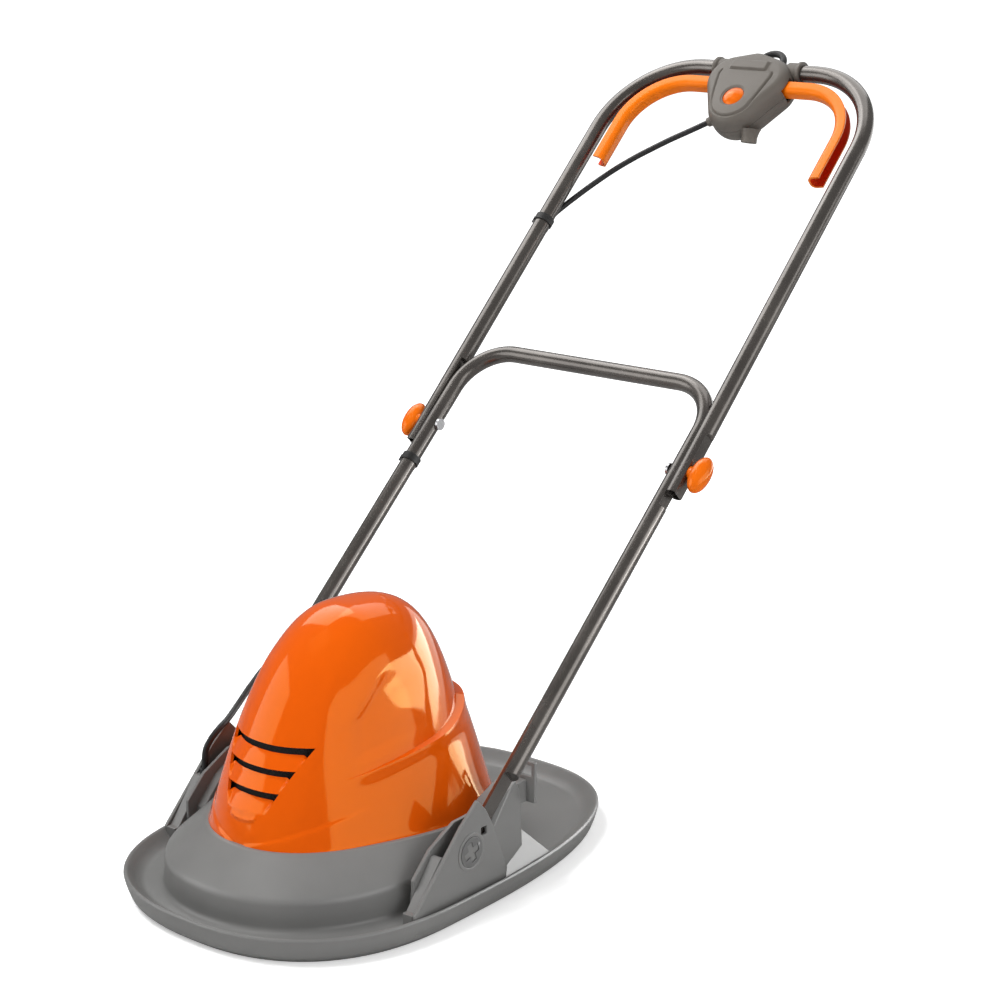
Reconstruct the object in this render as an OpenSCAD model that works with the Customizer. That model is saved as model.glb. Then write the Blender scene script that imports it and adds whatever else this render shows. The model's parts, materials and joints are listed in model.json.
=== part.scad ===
// Hover mower: a moulded deck and hood round an electric motor, a fan and a blade,
// with a folding tube handle that carries the switch box and its two start levers.
// Lengths are in millimetres, the front is -Y and the ground is z = 0.

/* [Deck] */
// Clearance from the tip of the blade to the side of the drum
blade_room = 15; // [11:1:18]
// Width of the channel and its lip beside the drum
lip_side = 37; // [33:1:44]
// Width of the channel and its lip in front of the drum
lip_ahead = 30; // [26:1:44]
// Reach of the lip behind the motor axis
lip_rear = 351; // [320:1:390]
// Height of the lip above the ground
lip_z = 28; // [24:1:34]
// Reach of the drum behind the motor axis
drum_rear = 215; // [205:1:235]
// Height of the crease between the drum wall and its sloping top
crease_z = 47; // [42:1:54]
// Height of the ledge that carries the hood
ledge_z = 77; // [72:1:84]
// Height of the floor of the channel round the drum
moat_z = 14; // [12:1:17]
// Thickness of the deck's walls
deck_wall = 3.5; // [2.5:0.25:4.5]
// Radius of the air intake under the motor
intake_r = 62; // [56:1:66]

/* [Hood] */
// How far the side of the hood's base stands inside the drum, before the rear flare
hood_in = 24; // [22:1:30]
// Reach of the hood in front of the motor axis
hood_front = 96; // [90:1:102]
// Reach of the hood behind the motor axis, before the rear flare
hood_rear = 179; // [170:1:184]
// Height of the top of the hood above the ground
hood_top_z = 278; // [262:1:295]
// Distance of the top of the hood behind the motor axis
hood_apex_y = 58; // [50:1:66]
// Thickness of the hood's wall
hood_wall = 3; // [2.5:0.25:4]
// How far the rear flare stands proud at the base
flare_base = 15; // [8:1:17]
// How far the rear flare stands proud at its upper edge
flare_edge = 6; // [3:0.5:8]
// Height of each air slot
slot_h = 9.5; // [7:0.5:12]
// Height of the upper edge of the top air slot
slot_z = 168.5; // [164:0.5:174]
// Step from one air slot down to the next
slot_pitch = 20.5; // [18:0.5:22]
// Half of the length of the top air slot
slot_half_w = 51.5; // [46:0.5:56]

/* [Handle] */
// Angle of the lower handle above the ground
lower_tilt = 42.75; // [38:0.25:48]
// Angle of the upper handle above the ground
upper_tilt = 44; // [40:0.25:50]
// Distance of the handle pivots behind the motor axis
pivot_y = 44; // [38:1:50]
// Height of the handle pivots
pivot_z = 68; // [64:1:72]
// Length of the lower handle from the pivots to the knobs
lower_len = 448; // [420:1:480]
// Distance of the crossbar beyond the knobs
cross_len = 105; // [98:1:120]
// Length of the upper handle from the knobs to the top bar
upper_len = 526; // [500:1:560]
// Outside diameter of the lower tube
lower_d = 18; // [16.5:0.25:18.5]
// Outside diameter of the upper tube
upper_d = 19; // [17:0.25:20]
// Wall of both tubes
tube_wall = 1.5; // [1:0.1:2]
// Distance of the lower tubes outside the drum
tube_out = 25; // [22:0.5:26]
// Step from the lower tubes out to the upper tubes
tube_step = 9.5; // [8:0.5:11]
// Bend radius of the crossbar's corners
cross_bend_r = 55; // [48:1:60]
// Bend radius of the top bar's corners
top_bend_r = 100; // [92:1:106]
// Diameter of the clamp bolts
bolt_d = 6; // [5:0.5:7]
// Diameter of the handle's pivot pins
pin_d = 12; // [10:0.5:13]

/* [Switch box] */
// Half of the width of the box
box_half_w = 53; // [50:1:56]
// Distance from the top bar down to the lower end of the box
box_drop = 96; // [92:1:102]
// Distance from the top bar up to the upper end of the box
box_rise = 16; // [14.5:0.5:20]
// Depth of the front cover
cover_front_h = 20; // [18:0.5:23]
// Depth of the rear cover
cover_rear_h = 22; // [20:0.5:25]
// Wall of the covers
cover_wall = 2.5; // [2:0.25:3]
// Radius of the lock-off button
button_r = 12.5; // [11:0.5:14]
// Travel of the lock-off button
button_travel = 4; // [2:0.5:5]
// Bend radius of the levers at the middle of their channel
lever_bend_r = 67; // [62:1:70]
// Distance from the middle of the levers' grip to the upper tubes
lever_gap = 29.5; // [28:0.5:34]
// Length of the levers' straight grip below the bend
lever_grip = 57; // [48:1:66]
// Width of the levers' channel
lever_w = 14; // [12:0.5:15]
// Height of the levers' channel
lever_h = 18; // [16:0.5:19]
// Radius of the bore that takes the mains lead
inlet_r = 4.5; // [3.5:0.25:5]
// Diameter of the motor lead
lead_d = 6.5; // [5.5:0.25:7]

/* [Motor and blade] */
// Radius of the stator
stator_r = 42; // [38:1:46]
// Height of the stator
stator_h = 45; // [38:1:52]
// Radius of the armature
armature_r = 24; // [21:0.5:26]
// Radius of the motor shaft
shaft_r = 5; // [4.5:0.25:6]
// Radius of the fan
fan_r = 110; // [100:1:116]
// Height of the fan's vanes
vane_h = 16; // [12:1:20]
// Number of vanes on the fan
vane_count = 10; // [7:1:12]
// Length of the cutting blade
blade_len = 250; // [230:2:256]
// Width of the cutting blade
blade_w = 42; // [36:1:48]
// Thickness of the cutting blade
blade_t = 2.5; // [2:0.25:3]
// Height of the blade's underside above the ground
blade_z = 23; // [21:0.5:26]
// Thickness of each spacer between the blade and the fan
spacer_t = 3; // [2:0.25:3.5]

/* [Hidden] */
$fn = 64;
overrun = 2;
seat_gap = 0.15;
run_gap = 0.05;
lower_r = lower_d / 2;
upper_r = upper_d / 2;
lead_r = lead_d / 2;
bolt_r = bolt_d / 2;
pin_r = pin_d / 2;

// The blade sets the drum, and the drum sets the lip, the hood and the spacing of the tubes.
drum_half_w = blade_len / 2 + blade_room;
drum_front = drum_half_w;
lip_half_w = drum_half_w + lip_side;
lip_front = drum_front + lip_ahead;
lower_half_w = drum_half_w + tube_out;
upper_half_w = lower_half_w + tube_step;
hood_half_w = drum_half_w - hood_in;

// The handle's joint lies at the end of the lower handle, and the machine stands with
// the middle of its length over the origin.
joint_y = pivot_y + lower_len * cos(lower_tilt);
joint_z = pivot_z + lower_len * sin(lower_tilt);
hook_r = 4;
hook_bend_r = 15;
hook_s = upper_len + box_rise - hook_r;
hook_n = -cover_rear_h / 2;
reach_back = joint_y + (hook_s + hook_bend_r) * cos(upper_tilt) - hook_n * sin(upper_tilt) + hook_r;
mid_y = (reach_back - lip_front) / 2;

// Frames: the whole machine, the lower handle and the upper handle.
// In a handle's frame X runs across, Y along the tubes and Z out of its upper face.
module stand() { translate([0, -mid_y, 0]) children(); }
module at_lower() { stand() translate([0, joint_y, joint_z]) rotate([lower_tilt, 0, 0]) children(); }
module at_upper() { stand() translate([0, joint_y, joint_z]) rotate([upper_tilt, 0, 0]) children(); }
module both_sides() { for (side = [0, 1]) mirror([side, 0, 0]) children(); }
function from_handle(p, tilt) =
    [p.x, joint_y + p.y * cos(tilt) - p.z * sin(tilt), joint_z + p.y * sin(tilt) + p.z * cos(tilt)];
function unit(v) = v / norm(v);
function power_sign(v, p) = sign(v) * pow(abs(v), p);
function clamp_unit(v) = min(1, max(0, v));
function ease(v) = let (w = clamp_unit(v)) w * w * (3 - 2 * w);

// Oval: a rounded outline with its own front and rear reach, both measured from the motor
// axis, and its widest place at mid.
function oval(t, half_w, front, rear, mid, front_power, rear_power, z) =
    let (m = sin(t) < 0 ? front_power : rear_power, reach = sin(t) < 0 ? front + mid : rear - mid)
    [half_w * power_sign(cos(t), 2 / m), mid + reach * power_sign(sin(t), 2 / m), z];

// Closed band of quads, split into triangles, round a list of columns of points.
function band_faces(columns, rows) = [
    for (c = [0 : columns - 1], r = [0 : rows - 1], half = [0, 1])
        let (
            c2 = (c + 1) % columns,
            r2 = (r + 1) % rows,
            a = c * rows + r,
            b = c2 * rows + r,
            d = c2 * rows + r2,
            e = c * rows + r2
        )
        half == 0 ? [a, d, b] : [a, e, d]
];
module flat_along_x(x0, x1) {
    translate([x0, 0, 0]) rotate([90, 0, 90]) linear_extrude(x1 - x0) children();
}

// Hood surface. Half width, front and rear each shrink with height by their own dome curve.
hood_h = hood_top_z - ledge_z;
hood_mid_shift = 31;
hood_power = 2.2;
side_dome_shares = [0.724, 2.882];
front_dome_shares = [1.114, 2.205];
rear_dome_shares = [2.444, 3.517];
flare_start_t = -38;
flare_full_t = 14;
swoosh_up = 76.5;
swoosh_rise = 0.4;
swoosh_high = 95;
swoosh_step_z = 1.2;
crease_drop = 1.2;
crease_up = 54;
crease_slope = 0.61;
crease_fade_t = -26;
crease_fade_turn = 20;
function dome(u, shares) = pow(max(0, 1 - pow(u, shares[0])), 1 / shares[1]);
function half_turn(t) = let (w = abs(((t + 90 + 540) % 360) - 180)) w - 90;
function flare_share(t) = ease((half_turn(t) - flare_start_t) / (flare_full_t - flare_start_t));
function swoosh(t) = ledge_z + min(swoosh_high, swoosh_up + swoosh_rise * half_turn(t));
function hood_point(t, z, inset, proud) =
    let (
        top = hood_h - inset,
        u = clamp_unit((z - ledge_z) / top),
        shift = hood_mid_shift * (1 - u),
        side = (hood_half_w - inset) * dome(u, side_dome_shares),
        front = (hood_front + hood_apex_y - inset) * dome(u, front_dome_shares),
        rear = (hood_rear - hood_apex_y - inset) * dome(u, rear_dome_shares),
        mid = hood_apex_y + shift,
        p = oval(t, side, front - hood_apex_y, rear + hood_apex_y, mid, hood_power, hood_power, z),
        away = [p.x, p.y - mid, 0]
    )
    norm(away) < seat_gap ? p : p + proud * unit(away);
function flare(t, share) = flare_share(t) * (flare_base + (flare_edge - flare_base) * share);
function hood_base(t, grow) = hood_point(t, ledge_z, 0, flare(t, 0) + grow);

// Deck
lip_mid = 20;
lip_powers = [2.4, 2.8];
drum_mid = 30;
drum_powers = [2.2, 2.4];
foot_draft = 2;
foot_rise = 4;
lip_round = 2;
lip_edge = 4;
wall_lean = 6;
wall_low_z = 6;
rest_inset = 13;
rest_w = 8;
channel_w = 19;
ledge_w = 4;
deck_columns = 64;
function lip(t, inset, z) =
    let (side = lip_half_w - inset, front = lip_front - inset, rear = lip_rear - inset)
    oval(t, side, front, rear, lip_mid, lip_powers[0], lip_powers[1], z);
function drum(t, grow, z) =
    let (side = drum_half_w + grow, front = drum_front + grow, rear = drum_rear + grow)
    oval(t, side, front, rear, drum_mid, drum_powers[0], drum_powers[1], z);
function deck_column(t) = [
    [intake_r * cos(t), intake_r * sin(t), ledge_z],
    hood_base(t, ledge_w),
    drum(t, 0, crease_z),
    drum(t, foot_draft, moat_z + foot_rise),
    lip(t, channel_w, moat_z),
    lip(t, (channel_w + lip_edge) / 2, (moat_z * 2 + lip_z) / 3),
    lip(t, lip_edge, lip_z - lip_round / 2),
    lip(t, lip_round, lip_z),
    lip(t, 0, lip_z - lip_round),
    lip(t, lip_round, (lip_z + wall_low_z) / 2),
    lip(t, wall_lean, wall_low_z),
    lip(t, rest_inset, 0),
    lip(t, rest_inset + rest_w, 0),
    lip(t, channel_w + deck_wall, moat_z - deck_wall),
    drum(t, foot_draft - deck_wall, moat_z + foot_rise - deck_wall),
    drum(t, -deck_wall, crease_z - deck_wall / 2),
    hood_base(t, 0) - [0, 0, deck_wall],
    [intake_r * cos(t), intake_r * sin(t), ledge_z - deck_wall]
];
module deck_shell() {
    columns = [for (c = [0 : deck_columns - 1]) deck_column(-360 * c / deck_columns)];
    polyhedron([for (c = columns, p = c) p], band_faces(deck_columns, len(columns[0])));
}

// Handle forks, one each side of the drum. Outlines are shares of the fork's length and height.
fork_len = 176;
fork_h = 87;
fork_lead = 80;
fork_foot_z = moat_z - deck_wall + seat_gap;
fork_drop = 38;
fork_low_z = pivot_z - fork_drop;
plate_t = 4;
plate_slack = 1.2;
flat_t = 8;
flat_x = lower_half_w - lower_r + flat_t;
plate_gap = 2.5;
plate_in_x = flat_x + plate_slack;
plate_out_x = plate_in_x + plate_t;
inner_x = lower_half_w - lower_r - plate_gap;
inner_t = inner_x - drum_half_w;
outer_shares = [
    [0, 0], [0.37, 0.77], [0.51, 1], [0.58, 0.85], [0.65, 0.6], [0.74, 0.15], [0.75, 0]
];
inner_shares = [
    [0.09, 0], [0.09, 0.3], [0.22, 0.56], [0.42, 0.76], [0.66, 0.78],
    [0.86, 0.9], [0.93, 0.78], [0.97, 0.47], [1, 0]
];
fill_shares = [
    [0.14, 0], [0.16, 0.2], [0.3, 0.5], [0.4, 0.62], [0.66, 0.66], [0.86, 0.8], [0.97, 0.47], [1, 0]
];
cheek_t = 4;
nose_shares = [[0, 0], [0.03, 0], [0.225, 0.5], [0.33, 0.5], [0.35, 0.2], [0.35, 0]];
open_nose_shares = [[0, 0], [0.03, 0], [0.225, 0.5], [0.25, 0.5], [0.26, 0]];
tail_shares = [[0.5, 0], [0.5, 0.2], [0.69, 0.77], [0.91, 0.95], [0.96, 0.8], [0.98, 0.47], [1, 0]];
tail_in_x = drum_half_w - deck_wall;
tail_turn_share = 0.42;
tail_crease_shares = [0.65, 0.6];
tail_crease_a = 24.5;
ramp_start_share = 0.74;
ramp_end_share = 1.18;
ramp_peak_shares = [1, 0.36];
ramp_in = 6;
window_w = 8;
window_place = [19, 15.5];
boss_r = 19;
boss_h = 0.8;
plug_r = 15;
plug_h = 3;
plug_slot_w = 7;
plug_slot_len = 20;
plug_turns = [20, 110];
loop_w = 22;
loop_h = 42;
loop_t = 4;
loop_window_h = 11;
loop_shares = [1.06, 0.6];
loop_reach = 28;
loop_arm_w = 12;
function fork_y(share) = pivot_y - fork_lead + share * fork_len;
loop_y = fork_y(loop_shares.x);
loop_z = fork_low_z + loop_shares.y * fork_h;
function fork_points(shares) = concat(
    [for (s = shares) [fork_y(s.x), fork_low_z + s.y * fork_h]],
    [[fork_y(shares[len(shares) - 1].x), fork_foot_z]],
    [[fork_y(shares[0].x), fork_foot_z]]
);
// Room for the tube: everything above a line just under its rest place, and round the pin.
module tube_room() {
    translate([pivot_y, pivot_z]) rotate(lower_tilt) translate([0, -lower_r - seat_gap])
        square([fork_len, fork_len]);
    translate([pivot_y, pivot_z]) circle(r = lower_r + plate_gap);
}
// The tail's upper outer edge leans in above a crease.
module tail_roof() {
    translate([0, fork_y(tail_crease_shares.x), fork_low_z + tail_crease_shares.y * fork_h])
        rotate([90 + tail_crease_a, 0, 0]) linear_extrude(fork_len * 2, center = true) polygon([
            [tail_in_x - overrun, -fork_len],
            [plate_out_x + overrun, -fork_len],
            [plate_out_x + overrun, -overrun],
            [tail_in_x - overrun, plate_out_x - tail_in_x + overrun]
        ]);
}
// Ramp behind the tail: from a peak at the tail's foot down to the inside of the lip.
module fork_ramp() {
    tops = [
        [plate_out_x, fork_y(ramp_start_share), lip_z - lip_edge],
        [plate_out_x - ramp_in, fork_y(ramp_end_share), lip_z - lip_edge],
        [tail_in_x, fork_y(ramp_peak_shares.x), fork_low_z + ramp_peak_shares.y * fork_h]
    ];
    polyhedron(
        concat([for (p = tops) [p.x, p.y, fork_foot_z]], tops),
        [[0, 1, 2], [3, 5, 4], [0, 3, 4, 1], [1, 4, 5, 2], [2, 5, 3, 0]]
    );
}
module fork(nose) {
    difference() {
        union() {
            flat_along_x(plate_in_x, plate_out_x) polygon(fork_points(outer_shares));
            flat_along_x(inner_x - cheek_t, inner_x) polygon(fork_points(inner_shares));
            flat_along_x(inner_x - inner_t, inner_x - seat_gap) polygon(fork_points(fill_shares));
            flat_along_x(inner_x - seat_gap, plate_in_x + seat_gap) polygon(fork_points(nose));
            intersection() {
                flat_along_x(tail_in_x, plate_out_x) difference() {
                    polygon(fork_points(tail_shares));
                    tube_room();
                }
                translate([0, 0, fork_foot_z]) linear_extrude(fork_h * 2) polygon([
                    [tail_in_x, pivot_y],
                    [plate_out_x, pivot_y],
                    [plate_out_x, pivot_y + fork_lead * tail_turn_share],
                    [inner_x, pivot_y + fork_len - fork_lead],
                    [tail_in_x, pivot_y + fork_len - fork_lead]
                ]);
                tail_roof();
            }
            fork_ramp();
            translate([plate_out_x - overrun, pivot_y, pivot_z]) rotate([0, 90, 0])
                cylinder(r = boss_r, h = overrun + boss_h);
            translate([tail_in_x + loop_t, loop_y - loop_reach, loop_z])
                cube([loop_arm_w, loop_reach, loop_h - loop_t * 2 - loop_window_h]);
            translate([tail_in_x + loop_t, loop_y, loop_z]) rotate([90, 0, 0]) linear_extrude(loop_t)
                difference() {
                    square([loop_w, loop_h]);
                    translate([loop_t, loop_h - loop_t - loop_window_h])
                        square([loop_w - loop_t * 2, loop_window_h]);
                }
        }
        translate([inner_x - inner_t - overrun, pivot_y, pivot_z]) rotate([0, 90, 0])
            cylinder(r = pin_r + run_gap, h = plate_out_x - inner_x + inner_t + overrun * 2);
        translate([plate_out_x - overrun, pivot_y, pivot_z]) rotate([0, 90, 0])
            cylinder(r = plug_r + seat_gap, h = overrun * 2);
        translate([plate_in_x - overrun, pivot_y + window_place.x, pivot_z + window_place.y])
            rotate([0, 90, 0]) linear_extrude(plate_t + overrun * 2) square(window_w, center = true);
    }
}

// Places of the screws that hold the hood down on the deck's ledge.
screw_turns = [28, 152, 208, 332];
flange_w = 14;
flange_t = 3;
hood_screw_r = 2;
hood_screw_head_r = 4;
hood_screw_head_h = 2.5;
function hood_screw_place(t) = hood_base(t, -flange_w / 2 - hood_wall / 2);

// Lead gland in the left fork, on the flat land over the nose
gland_r = 5.5;
gland_h = 10;
gland_stand = 5;
gland_x = -(inner_x + plate_in_x) / 2;
gland_shares = [0.28, 0.5];
gland_y = fork_y(gland_shares.x);
gland_z = fork_low_z + gland_shares.y * fork_h;

module deck() {
    color("dimgray") stand() difference() {
        union() {
            deck_shell();
            fork(open_nose_shares);
            mirror([1, 0, 0]) fork(nose_shares);
        }
        for (t = screw_turns) translate(hood_screw_place(t) - [0, 0, deck_wall + overrun])
            cylinder(r = hood_screw_r + run_gap, h = deck_wall + overrun * 2);
        translate([gland_x, gland_y, gland_z - gland_h + gland_stand])
            cylinder(r = gland_r + run_gap, h = gland_h);
        for (t = mount_turns) rotate(t) translate([mount_bolt_r, 0, ledge_z - deck_wall - overrun])
            cylinder(r = motor_screw_r + run_gap, h = deck_wall + overrun * 2);
    }
}

// Hood: rows climb from the base to the swoosh, over its step, and on to the crown.
hood_columns = 48;
low_rows = 6;
high_rows = 13;
inner_rows = 13;
inner_power = 1.6;
crown_power = 2.4;
function crease_proud(t, z) =
    let (h = half_turn(t))
    h > crease_fade_t || z > ledge_z + crease_up + crease_slope * h
        ? 0
        : crease_drop * ease((crease_fade_t - h) / crease_fade_turn);
function low_point(t, share) =
    let (z = ledge_z + (swoosh(t) - ledge_z) * share)
    hood_point(t, z, 0, flare(t, share) + crease_proud(t, z));
function high_point(t, share) =
    let (start = swoosh(t) + swoosh_step_z)
    hood_point(t, start + (hood_top_z - start) * (1 - pow(1 - share, crown_power)), 0, 0);
function inner_point(t, share) =
    let (
        start = ledge_z + flange_t,
        top = hood_top_z - hood_wall,
        z = start + (top - start) * (1 - pow(1 - share, inner_power)),
        low = clamp_unit((swoosh(t) - z) / (swoosh(t) - ledge_z))
    )
    hood_point(t, z, hood_wall, z < swoosh(t) - hood_wall ? flare(t, 1 - low) : 0);
function hood_column(t) = concat(
    [hood_base(t, -flange_w)],
    [for (r = [0 : low_rows]) low_point(t, r / low_rows)],
    [for (r = [0 : high_rows - 1]) high_point(t, r / high_rows)]
);
function hood_inner_column(t) = concat(
    [for (r = [inner_rows - 1 : -1 : 0]) inner_point(t, r / inner_rows)],
    [hood_base(t, -flange_w) + [0, 0, flange_t]]
);
// Crown: the outer and inner rows each close on one point.
function crown_faces(columns, row, rows, tip, flip) = [
    for (c = [0 : columns - 1])
        let (a = c * rows + row, b = ((c + 1) % columns) * rows + row)
        flip ? [tip, a, b] : [tip, b, a]
];
function open_faces(columns, rows, r0, r1) = [
    for (c = [0 : columns - 1], r = [r0 : r1 - 1], half = [0, 1])
        let (c2 = (c + 1) % columns, a = c * rows + r, b = c2 * rows + r)
        half == 0 ? [a, b + 1, b] : [a, a + 1, b + 1]
];
module hood_shell() {
    outer_rows = 1 + low_rows + 1 + high_rows;
    columns = [
        for (c = [0 : hood_columns - 1])
            let (t = 360 * c / hood_columns)
            concat(hood_column(t), hood_inner_column(t))
    ];
    rows = len(columns[0]);
    points = [for (c = columns, p = c) p];
    outer_tip = len(points);
    apex = [0, hood_apex_y, hood_top_z];
    closing = [
        for (c = [0 : hood_columns - 1], half = [0, 1])
            let (c2 = (c + 1) % hood_columns, a = c * rows, b = c2 * rows)
            half == 0 ? [a + rows - 1, b, b + rows - 1] : [a + rows - 1, a, b]
    ];
    polyhedron(
        concat(points, [apex, apex - [0, 0, hood_wall]]),
        concat(
            open_faces(hood_columns, rows, 0, outer_rows - 1),
            crown_faces(hood_columns, outer_rows - 1, rows, outer_tip, false),
            open_faces(hood_columns, rows, outer_rows, rows - 1),
            crown_faces(hood_columns, outer_rows, rows, outer_tip + 1, true),
            closing
        )
    );
}
slot_taper = 0.44;
slot_count = 3;
slot_reach = 120;
function slot_end(z) = slot_half_w - slot_taper * (slot_z - z);
module hood() {
    color("darkorange") stand() difference() {
        hood_shell();
        for (k = [0 : slot_count - 1]) {
            high = slot_z - k * slot_pitch;
            low = high - slot_h;
            rotate([90, 0, 0]) linear_extrude(slot_reach) polygon([
                [-slot_end(high), high], [slot_end(high), high], [slot_end(low), low], [-slot_end(low), low]
            ]);
        }
        for (t = screw_turns) translate(hood_screw_place(t) - [0, 0, overrun])
            cylinder(r = hood_screw_r + run_gap, h = flange_t + overrun * 2);
    }
}

// Filter mesh that lies against the hood's inner face behind the slots.
mesh_t = 1.2;
mesh_margin = 6;
mesh_gap = 0.7;
mesh_turn = 36;
mesh_columns = 12;
mesh_rows = 6;
module vent_mesh() {
    top = slot_z + mesh_margin;
    low = slot_z - (slot_count - 1) * slot_pitch - slot_h - mesh_margin;
    points = [
        for (face = [0, 1], c = [0 : mesh_columns], r = [0 : mesh_rows])
            hood_point(
                -90 - mesh_turn + 2 * mesh_turn * c / mesh_columns,
                low + (top - low) * r / mesh_rows,
                hood_wall + mesh_gap + face * mesh_t,
                0
            )
    ];
    rows = mesh_rows + 1;
    back = rows * (mesh_columns + 1);
    skin = [
        for (c = [0 : mesh_columns - 1], r = [0 : mesh_rows - 1], half = [0, 1])
            let (a = c * rows + r, b = a + rows)
            half == 0 ? [a, b + 1, b] : [a, a + 1, b + 1]
    ];
    rim = concat(
        [for (c = [0 : mesh_columns]) c * rows],
        [for (r = [1 : mesh_rows]) mesh_columns * rows + r],
        [for (c = [mesh_columns - 1 : -1 : 0]) c * rows + mesh_rows],
        [for (r = [mesh_rows - 1 : -1 : 1]) r]
    );
    edge = [
        for (k = [0 : len(rim) - 1], half = [0, 1])
            let (a = rim[k], b = rim[(k + 1) % len(rim)])
            half == 0 ? [a, b, b + back] : [a, b + back, a + back]
    ];
    color("black") stand()
        polyhedron(points, concat(skin, [for (f = skin) [f[2] + back, f[1] + back, f[0] + back]], edge));
}
module hood_screws() {
    color("silver") stand() for (t = screw_turns) translate(hood_screw_place(t)) {
        translate([0, 0, -deck_wall - hood_screw_head_h])
            cylinder(r = hood_screw_head_r, h = hood_screw_head_h);
        translate([0, 0, -deck_wall]) cylinder(r = hood_screw_r, h = deck_wall + flange_t);
    }
}

// Motor, from the mount on the deck's ledge up to the top bracket
mount_turns = [45, 135, 225, 315];
mount_ring_w = 12;
mount_t = 6;
mount_bolt_r = intake_r + mount_ring_w / 2;
motor_screw_r = 2.5;
motor_screw_head_r = 5;
motor_screw_head_h = 3;
post_r = 6;
post_h = 20;
post_place = stator_r - post_r / 2;
hub_r = 18;
lower_bearing_r = 13;
lower_bearing_h = 8;
upper_bearing_r = 11;
upper_bearing_h = 7;
stator_z = ledge_z + mount_t + post_h;
pole_gap = 0.8;
coil_overhang = 8;
arm_w = 14;
bracket_t = 8;
bracket_disc_r = post_place - post_r;
commutator_r = 11;
commutator_h = 14;
armature_end = 9;
bracket_stand = 30;
bracket_z = stator_z + stator_h + bracket_stand;
shaft_top_z = bracket_z + bracket_t - run_gap;
module motor_mount() {
    color("black") stand() difference() {
        union() {
            translate([0, 0, ledge_z]) difference() {
                cylinder(r = intake_r + mount_ring_w, h = mount_t);
                translate([0, 0, -overrun])
                    cylinder(r = intake_r - mount_ring_w / 2, h = mount_t + overrun * 2);
            }
            translate([0, 0, ledge_z]) cylinder(r = hub_r, h = lower_bearing_h + mount_t / 2);
            for (t = mount_turns) rotate(t) {
                translate([hub_r - overrun, -arm_w / 2, ledge_z]) cube([intake_r - hub_r, arm_w, mount_t]);
                translate([post_place, 0, ledge_z]) cylinder(r = post_r, h = mount_t + post_h);
            }
        }
        translate([0, 0, ledge_z + mount_t / 2]) cylinder(r = lower_bearing_r, h = lower_bearing_h + overrun);
        translate([0, 0, ledge_z - overrun]) cylinder(r = shaft_r + overrun, h = mount_t + overrun);
        for (t = mount_turns) rotate(t) {
            translate([mount_bolt_r, 0, ledge_z - overrun])
                cylinder(r = motor_screw_r + run_gap, h = mount_t + overrun * 2);
            translate([post_place, 0, ledge_z + mount_t])
                cylinder(r = motor_screw_r + run_gap, h = post_h + overrun);
        }
    }
}
module lower_bearing() {
    color("silver") stand() translate([0, 0, ledge_z + mount_t / 2]) difference() {
        cylinder(r = lower_bearing_r, h = lower_bearing_h);
        translate([0, 0, -overrun]) cylinder(r = shaft_r + run_gap, h = lower_bearing_h + overrun * 2);
    }
}
module upper_bearing() {
    color("silver") stand() translate([0, 0, bracket_z]) difference() {
        cylinder(r = upper_bearing_r, h = upper_bearing_h);
        translate([0, 0, -overrun]) cylinder(r = shaft_r + run_gap, h = upper_bearing_h + overrun * 2);
    }
}
yoke_t = 9;
pole_turn = 64;
module motor_stator() {
    color("slategray") stand() translate([0, 0, stator_z]) difference() {
        cylinder(r = stator_r, h = stator_h);
        translate([0, 0, -overrun]) cylinder(r = armature_r + pole_gap, h = stator_h + overrun * 2);
        for (side = [0, 180]) rotate(side) translate([0, 0, -overrun]) rotate(-pole_turn / 2)
            rotate_extrude(angle = pole_turn) translate([armature_r, 0])
                square([stator_r - yoke_t - armature_r, stator_h + overrun * 2]);
        for (t = mount_turns) rotate(t) translate([post_place, 0, -overrun])
            cylinder(r = motor_screw_r + run_gap, h = stator_h + overrun * 2);
    }
}
coil_slack = 1;
coil_turn = 58;
coil_w = stator_r - yoke_t - armature_r - pole_gap - coil_slack * 2;
module field_coils() {
    color("peru") stand() for (side = [0, 180]) rotate(side) translate([0, 0, stator_z - coil_overhang])
        rotate(-coil_turn / 2) rotate_extrude(angle = coil_turn)
            translate([armature_r + pole_gap + coil_slack, 0])
                square([coil_w, stator_h + coil_overhang * 2]);
}
module motor_bracket() {
    leg_h = bracket_z - stator_z - stator_h;
    color("black") stand() difference() {
        union() {
            translate([0, 0, bracket_z - mount_t / 2]) cylinder(r = hub_r, h = bracket_t + mount_t / 2);
            translate([0, 0, bracket_z - mount_t / 2]) cylinder(r = bracket_disc_r, h = mount_t);
            for (t = mount_turns) rotate(t) {
                translate([hub_r - overrun, -arm_w / 2, bracket_z - mount_t / 2])
                    cube([post_place - hub_r + overrun, arm_w, bracket_t]);
                translate([post_place, 0, stator_z + stator_h])
                    cylinder(r = post_r, h = leg_h + bracket_t - mount_t / 2);
            }
        }
        translate([0, 0, bracket_z]) cylinder(r = upper_bearing_r, h = upper_bearing_h);
        translate([0, 0, bracket_z - mount_t]) cylinder(r = commutator_r + overrun, h = mount_t + run_gap);
        for (t = mount_turns) rotate(t) translate([post_place, 0, stator_z + stator_h - overrun])
            cylinder(r = motor_screw_r + run_gap, h = leg_h + bracket_t + overrun * 2);
    }
}
module motor_screws() {
    top = bracket_z - mount_t / 2 + bracket_t;
    color("silver") stand() for (t = mount_turns) rotate(t) {
        translate([post_place, 0, ledge_z + mount_t])
            cylinder(r = motor_screw_r, h = top - ledge_z - mount_t);
        translate([post_place, 0, top]) cylinder(r = motor_screw_head_r, h = motor_screw_head_h);
        translate([mount_bolt_r, 0, ledge_z - deck_wall])
            cylinder(r = motor_screw_r, h = deck_wall + mount_t);
        translate([mount_bolt_r, 0, ledge_z - deck_wall - motor_screw_head_h])
            cylinder(r = motor_screw_head_r, h = motor_screw_head_h);
    }
}
brush_w = 8;
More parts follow.
